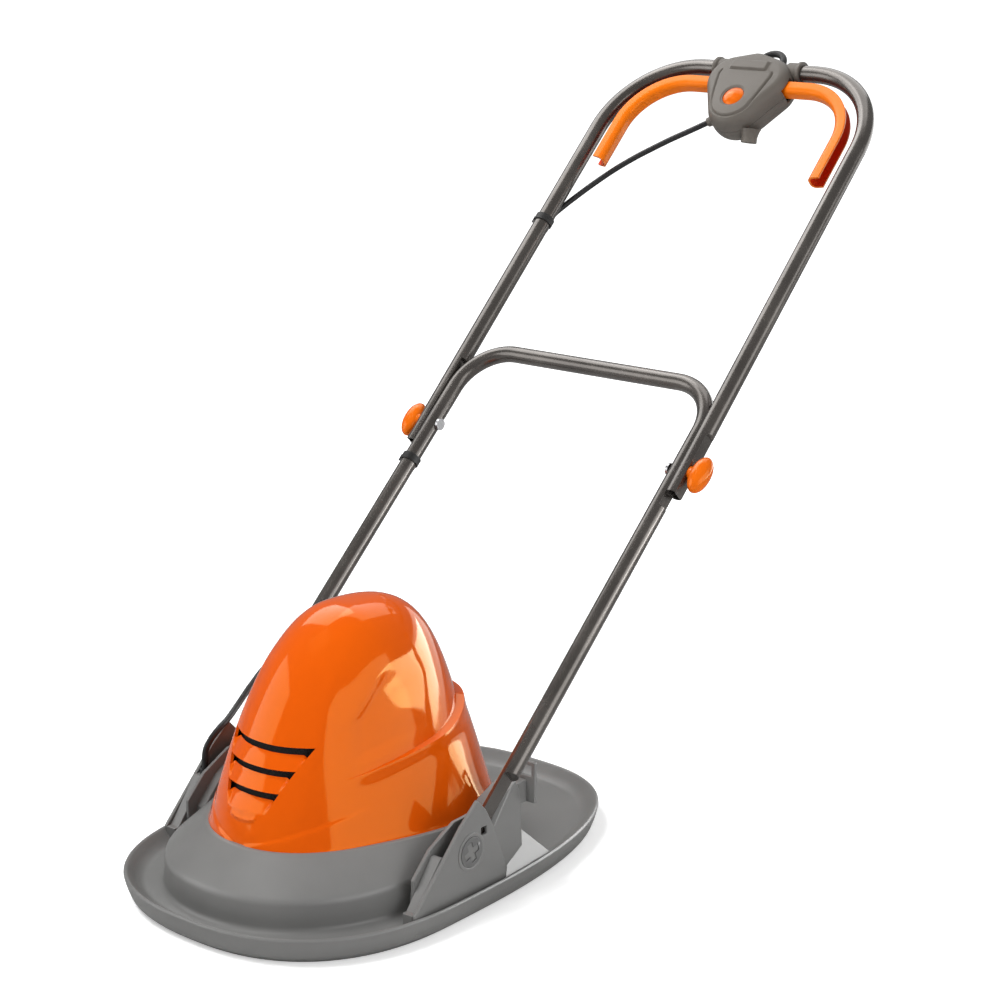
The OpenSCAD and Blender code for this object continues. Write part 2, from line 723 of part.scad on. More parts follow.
brush_stand = 6;
brush_z = stator_z + stator_h + armature_end + brush_stand;
brush_gap = 0.3;
module brush_holders() {
    reach = post_place - commutator_r;
    color("goldenrod") stand() for (side = [0, 180]) rotate(side) {
        translate([commutator_r + brush_gap, -brush_w / 2, brush_z]) cube([reach - post_r, brush_w, brush_w]);
        translate([post_place - post_r - brush_w, -brush_w / 2, brush_z])
            cube([brush_w / 2, brush_w, bracket_z - mount_t / 2 - brush_z]);
    }
}
capacitor_r = 9;
capacitor_h = 26;
module capacitor() {
    color("gold") stand() rotate((mount_turns[0] + mount_turns[1]) / 2)
        translate([intake_r + mount_ring_w / 4, 0, ledge_z + mount_t])
            cylinder(r = capacitor_r, h = capacitor_h);
}

// Rotor: shaft, armature, fan, spacers and blade turn together.
washer_t = 2;
washer_r = 17;
bolt_head_h = 7;
bolt_head_r = 9.8;
blade_bolt_r = 4;
blade_bolt_len = 32;
spacer_r = 22;
fan_hub_r = 16;
fan_disc_t = 3;
fan_z = blade_z + blade_t + spacer_t * 2;
vane_t = 2.5;
vane_in_r = 34;
vane_sweep = 38;
shaft_low_z = fan_z;
module motor_shaft() {
    color("silver") stand() difference() {
        translate([0, 0, shaft_low_z])
            cylinder(r = shaft_r, h = shaft_top_z - shaft_low_z - bracket_t + upper_bearing_h);
        translate([0, 0, shaft_low_z - overrun])
            cylinder(r = blade_bolt_r + run_gap, h = blade_bolt_len - spacer_t * 2 - blade_t + overrun * 2);
    }
}
armature_slots = 12;
armature_slot_r = 2;
module armature() {
    color("slategray") stand() translate([0, 0, stator_z]) difference() {
        cylinder(r = armature_r, h = stator_h);
        translate([0, 0, -overrun]) cylinder(r = shaft_r + run_gap, h = stator_h + overrun * 2);
        for (k = [1 : armature_slots]) rotate(360 * k / armature_slots) translate([armature_r, 0, -overrun])
            cylinder(r = armature_slot_r, h = stator_h + overrun * 2);
    }
}
module armature_coils() {
    color("peru") stand() for (z = [stator_z - armature_end, stator_z + stator_h]) translate([0, 0, z])
        difference() {
            cylinder(r = armature_r - armature_slot_r, h = armature_end);
            translate([0, 0, -overrun]) cylinder(r = shaft_r + run_gap, h = armature_end + overrun * 2);
        }
}
module commutator() {
    color("chocolate") stand() translate([0, 0, stator_z + stator_h + armature_end]) difference() {
        cylinder(r = commutator_r, h = commutator_h);
        translate([0, 0, -overrun]) cylinder(r = shaft_r + run_gap, h = commutator_h + overrun * 2);
    }
}
module fan() {
    color("darkgray") stand() difference() {
        union() {
            translate([0, 0, fan_z]) cylinder(r = fan_hub_r, h = fan_disc_t + vane_h);
            translate([0, 0, fan_z]) cylinder(r = fan_r, h = fan_disc_t);
            for (k = [0 : vane_count - 1]) rotate(360 * k / vane_count) translate([vane_in_r, 0, fan_z])
                rotate(vane_sweep) translate([0, -vane_t / 2, 0])
                    cube([(fan_r - vane_in_r) * cos(vane_sweep / 2), vane_t, fan_disc_t + vane_h]);
        }
        translate([0, 0, fan_z - overrun])
            cylinder(r = shaft_r + run_gap, h = fan_disc_t + vane_h + overrun * 2);
    }
}
module blade_spacers() {
    color("darkorange") stand() for (k = [0, 1]) translate([0, 0, blade_z + blade_t + k * spacer_t])
        difference() {
            cylinder(r = spacer_r, h = spacer_t - run_gap);
            translate([0, 0, -overrun]) cylinder(r = blade_bolt_r + run_gap, h = spacer_t + overrun * 2);
        }
}
tip_cut = 16;
edge_bevel = 10;
module blade() {
    color("lightsteelblue") stand() translate([0, 0, blade_z]) difference() {
        linear_extrude(blade_t) polygon([
            [-blade_len / 2, -blade_w / 2 + tip_cut], [-blade_len / 2 + edge_bevel, -blade_w / 2],
            [blade_len / 2, -blade_w / 2], [blade_len / 2, blade_w / 2 - tip_cut],
            [blade_len / 2 - edge_bevel, blade_w / 2], [-blade_len / 2, blade_w / 2]
        ]);
        translate([0, 0, -overrun]) cylinder(r = blade_bolt_r + run_gap, h = blade_t + overrun * 2);
    }
}
module blade_bolt() {
    color("silver") stand() {
        translate([0, 0, blade_z - washer_t]) cylinder(r = washer_r, h = washer_t);
        translate([0, 0, blade_z - washer_t - bolt_head_h])
            cylinder(r = bolt_head_r, h = bolt_head_h, $fn = 6);
        translate([0, 0, blade_z]) cylinder(r = blade_bolt_r, h = blade_bolt_len);
    }
}

// Pivot pins: a round plug with a cross-shaped recess and a shank through fork and tube
module pivot_pins() {
    color("gray") stand() both_sides() translate([0, pivot_y, pivot_z]) rotate([0, 90, 0]) {
        translate([0, 0, inner_x - inner_t + overrun])
            cylinder(r = pin_r, h = plate_out_x - inner_x + inner_t - overrun * 2);
        translate([0, 0, plate_out_x - overrun]) difference() {
            cylinder(r = plug_r, h = plug_h + overrun);
            for (turn = plug_turns) rotate(turn) translate([-plug_slot_len / 2, -plug_slot_w / 2, overrun])
                cube([plug_slot_len, plug_slot_w, plug_h + overrun]);
        }
    }
}
module lead_gland() {
    color("black") stand() translate([gland_x, gland_y, gland_z - gland_h + gland_stand])
        cylinder(r = gland_r, h = gland_h);
}

// Tubes bent into hoops, each with two straight sides and a straight top.
module hoop(r, half_w, start, top, bend_r) {
    centre = [half_w - bend_r, top - bend_r, 0];
    both_sides() {
        translate([half_w, start, 0]) rotate([-90, 0, 0]) cylinder(r = r, h = centre.y - start);
        translate(centre) rotate_extrude(angle = 90) translate([bend_r, 0]) circle(r = r);
    }
    translate([-centre.x, top, 0]) rotate([0, 90, 0]) cylinder(r = r, h = centre.x * 2);
}
contact_x = (lower_half_w + upper_half_w) / 2;
upper_tail = 28;
flat_below = 46;
flat_above = 84;
dent_share = 0.6;
dent_x = upper_half_w + upper_r * dent_share;
dent_top = 45;
ramp_len = 14;
end_flat = 82;
module flank(x, s0, s1, ramp, grow) {
    far = x + lower_d * 2;
    translate([0, 0, -lower_d * 2]) linear_extrude(lower_d * 4) polygon([
        [x - grow, s0], [far, s0], [far, s1 + ramp + grow], [x - grow, s1 + grow]
    ]);
}
module lower_flats(grow) {
    both_sides() {
        flank(contact_x - seat_gap, -flat_below - grow, flat_above, 0, grow);
        flank(flat_x, -lower_len - lower_d, -lower_len + end_flat, ramp_len, grow);
    }
}
module lower_handle() {
    color("dimgray") at_lower() difference() {
        union() {
            hoop(lower_r, lower_half_w, -lower_len, cross_len, cross_bend_r);
            both_sides() translate([lower_half_w - lower_r, -lower_len, 0]) rotate([0, 90, 0])
                cylinder(r = lower_r, h = flat_t);
        }
        difference() {
            hoop(lower_r - tube_wall, lower_half_w, -lower_len + lower_d, cross_len, cross_bend_r);
            lower_flats(tube_wall);
        }
        lower_flats(0);
        translate([-lip_half_w, 0, 0]) rotate([0, 90, 0]) cylinder(r = bolt_r + run_gap, h = lip_half_w * 2);
        translate([-lip_half_w, -lower_len, 0]) rotate([0, 90, 0])
            cylinder(r = pin_r + run_gap, h = lip_half_w * 2);
    }
}
module upper_flats(grow) {
    both_sides() {
        mirror([1, 0, 0]) flank(-contact_x - seat_gap, -upper_tail - overrun, flat_above, 0, grow);
        flank(dent_x, -upper_tail - overrun, dent_top, ramp_len, grow);
    }
}
module upper_handle() {
    span = upper_half_w + upper_d;
    color("dimgray") at_upper() difference() {
        hoop(upper_r, upper_half_w, -upper_tail, upper_len, top_bend_r);
        difference() {
            hoop(upper_r - tube_wall, upper_half_w, -upper_tail - overrun, upper_len, top_bend_r);
            upper_flats(tube_wall);
        }
        upper_flats(0);
        translate([-span, 0, 0]) rotate([0, 90, 0]) cylinder(r = bolt_r + run_gap, h = span * 2);
    }
}

// Clamp bolts with round heads inside, and the wing knobs that turn on them outside
bolt_head_t = 3;
clamp_head_r = 6.5;
knob_x = dent_x + seat_gap;
knob_hub_r = 7.5;
knob_hub_h = 6.5;
knob_depth = 22;
knob_mid_r = 11;
knob_end_r = 8;
knob_half_len = 13;
module clamp_bolts() {
    head_x = lower_half_w - lower_r - seat_gap;
    color("silver") at_upper() both_sides() rotate([0, 90, 0]) {
        translate([0, 0, head_x - bolt_head_t]) cylinder(r = clamp_head_r, h = bolt_head_t);
        translate([0, 0, head_x]) cylinder(r = bolt_r, h = knob_x + knob_hub_h + knob_depth / 2 - head_x);
    }
}
module knob() {
    middle = knob_x + knob_hub_h + knob_mid_r - overrun;
    difference() {
        union() {
            translate([knob_x, 0, 0]) rotate([0, 90, 0]) cylinder(r = knob_hub_r, h = knob_hub_h + overrun);
            hull() {
                translate([middle, 0, 0]) sphere(r = knob_mid_r, $fn = 32);
                for (end = [-1, 1]) translate([middle, end * knob_half_len, 0])
                    sphere(r = knob_end_r, $fn = 32);
            }
        }
        translate([knob_x - overrun, 0, 0]) rotate([0, 90, 0])
            cylinder(r = bolt_r + run_gap, h = knob_hub_h + knob_depth / 2 + overrun);
    }
}
module knob_left() { color("darkorange") at_upper() mirror([1, 0, 0]) knob(); }
module knob_right() { color("darkorange") at_upper() knob(); }

// Motor lead: from the switch box, under the left tubes and into the gland. Each point gives how
// far it lies outside the tube, its place along the handle and its place out of the handle's face.
// The fall gives the way down from the top bar, and its shares run from the box out to the tube.
// Points of the foot are measured up from the pivots.
lead_exit_x = 38.4;
lead_out = 5;
lead_fall_shares = [0, 0.125, 0.26, 0.387, 0.515, 0.65, 0.777, 0.876, 0.954, 0.993, 1, 1];
lead_fall = [
    [73.8, -8], [87, -8.5], [101, -9], [115, -10], [130, -11], [149, -12],
    [171, -13], [190, -14], [208, -14], [222, -13], [234, -12.5], [246, -12.5]
];
lead_run = [[4.3, 160, -12.5], [3.7, 60, -13]];
lead_turn = [
    [12, 30, -14], [10, 0, -14.2], [7, -25, -13.4], [5, -42, -11.6], [5, -58, -11.6], [5, -100, -12]
];
lead_foot = [[6, 288, -12], [8.5, 228, -10], [12.2, 178, -5.5], [13, 143, 1]];
lead_loop_route = [
    [10, 74, 88], [6, 48, 75], [1, 24, 62], [-5, 4, 54],
    [-8, -11, 49], [-9, -23, 42], [-8, -30, 33], [-6.5, -31, 24]
];
lead_upper_route = concat(
    [
        for (k = [0 : len(lead_fall) - 1])
            let (span = upper_half_w + lead_out - lead_exit_x, p = lead_fall[k])
            [-lead_exit_x - lead_fall_shares[k] * span, upper_len - p.x, p.y]
    ],
    [for (p = lead_run) [-upper_half_w - p.x, p.y, p.z]]
);
lead_lower_route = concat(
    [for (p = lead_turn) [-lower_half_w - p.x, p.y, p.z]],
    [for (p = lead_foot) [-lower_half_w - p.x, p.y - lower_len, p.z]]
);
lead_sides = 8;
lead_points = concat(
    [for (p = lead_upper_route) from_handle(p, upper_tilt)],
    [for (p = lead_lower_route) from_handle(p, lower_tilt)],
    [for (p = lead_loop_route) [-lower_half_w - p.x, pivot_y + p.y, pivot_z + p.z]],
    [for (rise = [lead_d, seat_gap]) [gland_x, gland_y, gland_z + gland_stand + rise]]
);
elbow_first = len(lead_upper_route) - 1;
elbow_last = len(lead_upper_route) + 3;
loop_first = len(lead_upper_route) + len(lead_lower_route) - 1;
lead_last = len(lead_points) - 1;
function lead_ring(k) =
    let (
        before = lead_points[max(0, k - 1)],
        after = lead_points[min(lead_last, k + 1)],
        along = unit(after - before),
        across = unit(cross(along, [1, 0, 0])),
        up = cross(across, along)
    )
    [
        for (s = [0 : lead_sides - 1])
            let (turn = 360 * s / lead_sides)
            lead_points[k] + lead_r * (cos(turn) * across + sin(turn) * up)
    ];
module lead(first, last) {
    rings = [for (k = [first : last]) lead_ring(k)];
    walls = [
        for (k = [0 : last - first - 1], s = [0 : lead_sides - 1], half = [0, 1])
            let (s2 = (s + 1) % lead_sides, a = k * lead_sides + s, b = k * lead_sides + s2)
            half == 0 ? [a, b, b + lead_sides] : [a, b + lead_sides, a + lead_sides]
    ];
    ends = [
        [for (s = [lead_sides - 1 : -1 : 0]) s],
        [for (s = [0 : lead_sides - 1]) (last - first) * lead_sides + s]
    ];
    color("black") stand() polyhedron([for (r = rings, p = r) p], concat(walls, ends));
}
module lead_upper() { lead(0, elbow_first); }
module lead_elbow() { lead(elbow_first, elbow_last); }
module lead_lower() { lead(elbow_last, loop_first); }
module lead_loop() { lead(loop_first, lead_last); }

// Band clips that hold the lead under the left tubes
clip_w = 8;
clip_t = 1.6;
clip_tab = 6;
upper_clip_place = (lead_upper_route[10] + lead_upper_route[11]) / 2;
lower_clip_place = (lead_lower_route[3] + lead_lower_route[4]) / 2;
module lead_clip(tube_x, tube_r, place) {
    difference() {
        translate([0, place.y - clip_w / 2, 0]) rotate([-90, 0, 0]) union() {
            translate([-tube_x, 0, 0]) cylinder(r = tube_r + clip_t, h = clip_w);
            translate([place.x, -place.z, 0]) cylinder(r = lead_r + clip_t, h = clip_w);
            translate([-tube_x - tube_r - clip_tab, -clip_t / 2, 0]) cube([clip_tab, clip_t, clip_w]);
        }
        translate([0, place.y - clip_w / 2 - overrun, 0]) rotate([-90, 0, 0]) union() {
            translate([-tube_x, 0, 0]) cylinder(r = tube_r + run_gap, h = clip_w + overrun * 2);
            translate([place.x, -place.z, 0]) cylinder(r = lead_r + run_gap, h = clip_w + overrun * 2);
        }
    }
}
module upper_lead_clip() {
    color("black") at_upper() lead_clip(upper_half_w, upper_r, upper_clip_place);
}
module lower_lead_clip() {
    color("black") at_lower() lead_clip(lower_half_w, lower_r, lower_clip_place);
}

// Switch box: two covers that meet on the middle plane of the upper handle and clamp the top bar
lobe_r_shares = [0.68, 0.62, 0.42];
low_lobe_r = box_half_w * lobe_r_shares[0];
side_lobe_r = box_half_w * lobe_r_shares[1];
cap_lobe_r = box_half_w * lobe_r_shares[2];
low_lobe_s = upper_len - box_drop + low_lobe_r;
side_lobe_down = 23;
side_lobe_s = upper_len - side_lobe_down;
cap_lobe_s = upper_len + box_rise - cap_lobe_r;
lobe_shares = [0.5, 0.8, 1];
lobe_inset = [0, 2.5, 8];
collar_t = 2.5;
collar_in = 8;
collar_out = 5;
lever_down = 26;
lever_s = upper_len - lever_down;
lever_in = 15;
lever_pivot_x = box_half_w - lever_in;
lever_arc_x = upper_half_w - lever_gap - lever_bend_r;
lever_arc_s = lever_s - lever_bend_r;
lever_wall = 2.4;
lever_hub_r = 8;
lever_pin_r = 2.5;
lever_tail = 22;
lever_tail_w = 7;
lever_room = 2.5;
window_in = 13;
button_down = 55;
button_s = upper_len - button_down;
button_rise = 4.5;
button_flange = 2;
button_flange_t = 4;
button_stem_r = 4;
switch_size = [28, 16, 12];
plunger_r = 2;
plunger_h = 3;
ledge_rib = [12, 3];
spring_wire = 0.6;
lever_spring_r = 3.4;
lever_spring_h = 12;
button_spring_r = 7;
box_boss_r = 5;
box_screw_r = 1.7;
box_screw_head_r = 3.4;
box_screw_head_h = 2.5;
box_screw_sink = 4;
box_screw_len = 28;
box_screw_x = 25;
box_screw_down = [58, 80];
box_screw_places = [
    [-box_screw_x, upper_len - box_screw_down[0]], [box_screw_x, upper_len - box_screw_down[0]],
    [0, upper_len - box_screw_down[1]]
];
inlet_boss_r = 9;
inlet_x = 24;
inlet_n = -15;
inlet_stand = 5;
inlet_len = 18;
inlet_lean = 35;
inlet_mouth_s = low_lobe_s - sqrt(low_lobe_r * low_lobe_r - inlet_x * inlet_x) - inlet_stand;
exit_r = 5.5;
exit_len = 18;
exit_turn = 36.87;
exit_end = lead_upper_route[0];
ridge_r = 9;
ridge_half_w = 26;
ridge_down = 9;
ridge_s = upper_len - ridge_down;
ridge_rise = 2;
groove_w = 1.5;
groove_depth = 0.8;
module box_body(depth, inset) {
    hull() for (layer = [0 : len(lobe_shares) - 1]) {
        h = depth * lobe_shares[layer];
        shrink = inset + lobe_inset[layer];
        translate([0, low_lobe_s, 0]) cylinder(r = low_lobe_r - shrink, h = h, $fn = 40);
        for (side = [-1, 1]) translate([side * (box_half_w - side_lobe_r), side_lobe_s, 0])
            cylinder(r = side_lobe_r - shrink, h = h, $fn = 40);
        translate([0, cap_lobe_s, 0]) cylinder(r = cap_lobe_r - shrink, h = h, $fn = 40);
    }
}
module panel(inset) {
    hull() {
        translate([0, low_lobe_s + lobe_inset[1]]) circle(r = low_lobe_r - lobe_inset[2] - inset);
        for (side = [-1, 1]) translate([side * (box_half_w - side_lobe_r), side_lobe_s])
            circle(r = cap_lobe_r - lobe_inset[2] - inset);
    }
}
module along_bar(r, x0, x1) { translate([x0, upper_len, 0]) rotate([0, 90, 0]) cylinder(r = r, h = x1 - x0); }
module collars() {
    both_sides() along_bar(upper_r + collar_t, box_half_w - collar_in, box_half_w + collar_out);
}
// What both covers leave free: the top bar, the lever windows and the levers' swing.
module cover_room() {
    reach = box_half_w + collar_out + overrun;
    along_bar(upper_r + run_gap, -reach, reach);
    low = lever_s - lever_w / 2 - lever_room;
    both_sides() translate([box_half_w - window_in, low, -(lever_h + lever_room) / 2])
        cube([reach - box_half_w + window_in, lever_w + lever_room * 3, lever_h + lever_room]);
}
module half_space(high) {
    wide = upper_len * 2;
    translate([-wide / 2, 0, high ? 0 : -wide]) cube([wide, wide, wide]);
}
module box_bosses(from, to) {
    for (p = box_screw_places) translate([p.x, p.y, from]) cylinder(r = box_boss_r, h = to - from);
}
module at_inlet() { translate([inlet_x, inlet_mouth_s, inlet_n]) rotate([inlet_lean - 90, 0, 0]) children(); }
module pin_bosses(from, to) {
    both_sides() translate([lever_pivot_x, lever_s, from])
        cylinder(r = lever_pin_r + lever_wall, h = to - from);
}
module switch_cover_front() {
    inner_h = cover_front_h - cover_wall;
    screw_reach = box_screw_len - cover_rear_h + box_screw_sink;
    color("dimgray") at_upper() difference() {
        intersection() {
            union() {
                difference() {
                    union() {
                        box_body(cover_front_h, 0);
                        translate([-ridge_half_w, ridge_s, cover_front_h + ridge_rise - ridge_r])
                            rotate([0, 90, 0]) cylinder(r = ridge_r, h = ridge_half_w * 2);
                    }
                    translate([0, 0, -overrun]) box_body(inner_h + overrun, cover_wall);
                    translate([0, 0, cover_front_h - groove_depth]) linear_extrude(overrun) difference() {
                        panel(0);
                        panel(groove_w);
                    }
                }
                collars();
                box_bosses(0, inner_h + cover_wall / 2);
                pin_bosses(lever_h / 2 + lever_room / 2, inner_h + cover_wall / 2);
            }
            half_space(true);
        }
        cover_room();
        translate([0, button_s, 0]) cylinder(r = button_r + run_gap, h = cover_front_h + overrun);
        both_sides() translate([lever_pivot_x, lever_s, 0])
            cylinder(r = lever_pin_r + run_gap, h = inner_h - overrun);
        for (p = box_screw_places) translate([p.x, p.y, -overrun])
            cylinder(r = box_screw_r + run_gap, h = screw_reach + overrun * 2);
    }
}
module switch_cover_rear() {
    inner_h = cover_rear_h - cover_wall;
    rib_s = lever_s - lever_tail_w / 2 - lever_spring_h - ledge_rib.y;
    color("dimgray") at_upper() difference() {
        intersection() {
            union() {
                difference() {
                    union() {
                        mirror([0, 0, 1]) box_body(cover_rear_h, 0);
                        translate(exit_end) rotate(exit_turn) rotate([0, 90, 0])
                            cylinder(r = exit_r, h = exit_len);
                    }
                    mirror([0, 0, 1]) translate([0, 0, -overrun]) box_body(inner_h + overrun, cover_wall);
                }
                collars();
                at_inlet() cylinder(r = inlet_boss_r, h = inlet_len);
                box_bosses(-inner_h - cover_wall / 2, 0);
                pin_bosses(-inner_h - cover_wall / 2, -lever_h / 2 - lever_room / 2);
                both_sides() translate([lever_pivot_x - lever_tail, rib_s, -inner_h - cover_wall / 2])
                    cube([ledge_rib.x, ledge_rib.y, inner_h + cover_wall / 2]);
                translate([-switch_size.x / 2, button_s - switch_size.y / 2, -inner_h - cover_wall / 2])
                    cube([switch_size.x, switch_size.y, inner_h + cover_wall / 2 - switch_size.z]);
                translate([0, hook_s, hook_n]) rotate_extrude(angle = 180) translate([hook_bend_r, 0])
                    circle(r = hook_r);
                for (side = [-1, 1]) translate([side * hook_bend_r, hook_s, hook_n]) rotate([90, 0, 0])
                    cylinder(r = hook_r, h = box_rise);
            }
            half_space(false);
        }
        cover_room();
        both_sides() translate([lever_pivot_x, lever_s, -inner_h + overrun])
            cylinder(r = lever_pin_r + run_gap, h = inner_h);
        for (p = box_screw_places) {
            translate([p.x, p.y, -cover_rear_h])
                cylinder(r = box_screw_r + run_gap, h = cover_rear_h + overrun);
            translate([p.x, p.y, -cover_rear_h - overrun])
                cylinder(r = box_screw_head_r + run_gap, h = box_screw_sink + overrun);
        }
        at_inlet() translate([0, 0, -overrun]) cylinder(r = inlet_r, h = inlet_len + overrun * 2);
    }
}
module cover_screws() {
    low = -cover_rear_h + box_screw_sink;
    color("silver") at_upper() for (p = box_screw_places) translate([p.x, p.y, low]) {
        translate([0, 0, -box_screw_head_h]) cylinder(r = box_screw_head_r, h = box_screw_head_h);
        cylinder(r = box_screw_r, h = box_screw_len);
    }
}
module microswitch() {
    color("black") at_upper() translate([0, button_s, 0]) {
        translate([-switch_size.x / 2, -switch_size.y / 2, -switch_size.z]) cube(switch_size);
        cylinder(r = plunger_r, h = plunger_h);
    }
}
module lock_button() {
    dome_r = (button_r * button_r + button_rise * button_rise) / (2 * button_rise);
    top = cover_front_h + button_rise;
    inner_h = cover_front_h - cover_wall;
    color("darkorange") at_upper() translate([0, button_s, 0]) {
        intersection() {
            translate([0, 0, inner_h - button_flange_t]) cylinder(r = button_r, h = top);
            translate([0, 0, top - dome_r]) sphere(r = dome_r);
        }
        translate([0, 0, inner_h - button_flange_t - seat_gap])
            cylinder(r = button_r + button_flange, h = button_flange_t);
        translate([0, 0, plunger_h + button_travel + seat_gap])
            cylinder(r = button_stem_r, h = inner_h - button_flange_t - plunger_h - button_travel);
    }
}
// Coil springs: a round wire wound on a helix
coil_sides = 6;
coil_steps = 10;
coil_turns = 4;
module coil(r, wire, h) {
    count = coil_turns * coil_steps;
    points = [
        for (k = [0 : count], s = [0 : coil_sides - 1])
            let (
                turn = 360 * k / coil_steps,
                bead = 360 * s / coil_sides,
                out = r + wire * cos(bead),
                z = wire * 2 + (h - wire * 4) * k / count + wire * sin(bead)
            )
            [out * cos(turn), out * sin(turn), z]
    ];
    walls = [
        for (k = [0 : count - 1], s = [0 : coil_sides - 1], half = [0, 1])
            let (s2 = (s + 1) % coil_sides, a = k * coil_sides + s, b = k * coil_sides + s2)
            half == 0 ? [a, b, b + coil_sides] : [a, b + coil_sides, a + coil_sides]
    ];
    ends = [
        [for (s = [coil_sides - 1 : -1 : 0]) s],
        [for (s = [0 : coil_sides - 1]) count * coil_sides + s]
    ];
    polyhedron(points, concat(walls, ends));
}
module button_spring() {
    color("silver") at_upper() translate([0, button_s, 0])
        coil(button_spring_r, spring_wire, cover_front_h - cover_wall - button_flange_t - seat_gap);
}
module lever_springs() {
    color("silver") at_upper() for (side = [-1, 1])
        translate([side * (lever_pivot_x - lever_tail + ledge_rib.x / 2), lever_s - lever_tail_w / 2, 0])
            translate([0, -lever_spring_h, 0]) rotate([-90, 0, 0])
                coil(lever_spring_r, spring_wire, lever_spring_h);
}
module lever_pins() {
    low = -cover_rear_h + cover_wall + overrun;
    color("silver") at_upper() both_sides() translate([lever_pivot_x, lever_s, low])
        cylinder(r = lever_pin_r, h = cover_front_h - cover_wall - overrun - low);
}

// Start levers: a channel that opens towards the tube, on a hub inside the box
module lever_section() {
    translate([-lever_w / 2, -lever_h / 2]) difference() {
        square([lever_w, lever_h]);
        translate([lever_wall, lever_wall]) square([lever_w, lever_h - lever_wall * 2]);
    }
}
module lever() {
    difference() {
        union() {
            translate([lever_arc_x, lever_arc_s, 0]) rotate_extrude(angle = 90) translate([lever_bend_r, 0])
                lever_section();
            translate([lever_arc_x + lever_bend_r, lever_arc_s, 0]) rotate([90, 0, 0])
                linear_extrude(lever_grip) lever_section();
            translate([lever_pivot_x, lever_s, 0]) rotate([90, 0, 90])
                linear_extrude(lever_arc_x - lever_pivot_x) lever_section();
            translate([lever_pivot_x, lever_s, -lever_h / 2]) cylinder(r = lever_hub_r, h = lever_h);
            translate([lever_pivot_x - lever_tail, lever_s - lever_tail_w / 2, -lever_h / 4])
                cube([lever_tail, lever_tail_w, lever_h / 2]);
        }
        translate([lever_pivot_x, lever_s, -lever_h]) cylinder(r = lever_pin_r + run_gap, h = lever_h * 2);
    }
}
module lever_left() { color("orange") at_upper() mirror([1, 0, 0]) lever(); }
module lever_right() { color("orange") at_upper() lever(); }

deck();
hood();
vent_mesh();
hood_screws();
motor_mount();
motor_stator();
field_coils();
motor_bracket();
motor_screws();
brush_holders();
lower_bearing();
upper_bearing();
capacitor();
pivot_pins();
lead_gland();
motor_shaft();
armature();
armature_coils();
commutator();
fan();
blade_spacers();
blade();
blade_bolt();
lower_handle();
lower_lead_clip();
lead_lower();
lead_loop();
lead_elbow();
upper_handle();
clamp_bolts();
upper_lead_clip();
lead_upper();
switch_cover_front();
switch_cover_rear();
cover_screws();
microswitch();
lever_pins();
lever_springs();
button_spring();
knob_left();
knob_right();
lever_left();
lever_right();
lock_button();
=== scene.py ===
"""Hover mower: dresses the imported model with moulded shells, painted tubes and a pale studio."""

from __future__ import annotations

import json
import logging
import math
from dataclasses import dataclass
from enum import Enum
from typing import Iterable, Sequence

import bmesh
import bpy
import numpy as np
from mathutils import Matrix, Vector, geometry

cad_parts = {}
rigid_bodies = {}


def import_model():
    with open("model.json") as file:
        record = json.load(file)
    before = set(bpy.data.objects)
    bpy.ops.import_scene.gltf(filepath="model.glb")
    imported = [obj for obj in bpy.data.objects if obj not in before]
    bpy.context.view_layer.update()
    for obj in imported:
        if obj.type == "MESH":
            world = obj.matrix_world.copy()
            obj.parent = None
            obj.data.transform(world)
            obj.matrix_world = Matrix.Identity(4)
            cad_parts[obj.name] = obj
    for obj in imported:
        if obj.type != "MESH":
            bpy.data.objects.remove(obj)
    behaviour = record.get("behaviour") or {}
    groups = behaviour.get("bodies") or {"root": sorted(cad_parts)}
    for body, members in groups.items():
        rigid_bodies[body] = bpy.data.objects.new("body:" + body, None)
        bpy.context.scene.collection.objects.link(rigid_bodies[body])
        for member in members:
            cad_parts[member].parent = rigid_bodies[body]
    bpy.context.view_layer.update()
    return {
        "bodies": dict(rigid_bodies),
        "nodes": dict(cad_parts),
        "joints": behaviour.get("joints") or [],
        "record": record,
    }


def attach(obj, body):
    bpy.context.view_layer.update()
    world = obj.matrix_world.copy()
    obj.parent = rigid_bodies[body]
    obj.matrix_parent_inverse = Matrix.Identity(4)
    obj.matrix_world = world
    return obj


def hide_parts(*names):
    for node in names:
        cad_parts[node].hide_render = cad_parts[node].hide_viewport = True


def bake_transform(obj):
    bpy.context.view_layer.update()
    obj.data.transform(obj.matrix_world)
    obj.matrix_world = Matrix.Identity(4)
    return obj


LOG = logging.getLogger("hover_mower")
MM = 0.001
Point = Sequence[float]
# Angles in degrees over which an edge is shaded crisp, and over which it is rounded
SHARP = 32.0
BEVEL_FROM = 30.0


class Part(Enum):
    """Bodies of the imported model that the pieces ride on."""

    DECK = "deck"
    LOWER = "lower_handle"
    UPPER = "upper_handle"
    KNOB_LEFT = "knob_left"
    KNOB_RIGHT = "knob_right"
    LEVER_LEFT = "lever_left"
    LEVER_RIGHT = "lever_right"
    BUTTON = "lock_button"


class Slot(Enum):
    """Material slots of the record."""

    DECK = "deck_plastic"
    HOOD = "hood_plastic"
    ORANGE = "orange_plastic"
    BOX = "box_plastic"
    BLACK = "black_plastic"
    TUBE = "tube_paint"
    LEAD = "lead_rubber"
    STEEL = "steel"
    IRON = "motor_iron"
    COPPER = "copper"


class Rays(Enum):
    """What a lamp works on."""

    MATT = "matt surfaces"
    GLOSS = "reflections"


class Side(Enum):
    """Sides of the machine, each with the sign of x."""

    RIGHT = 1
    LEFT = -1

    @property
    def word(self) -> str:
        """The side in the name of a piece."""
        return self.name.lower()


# Shader building


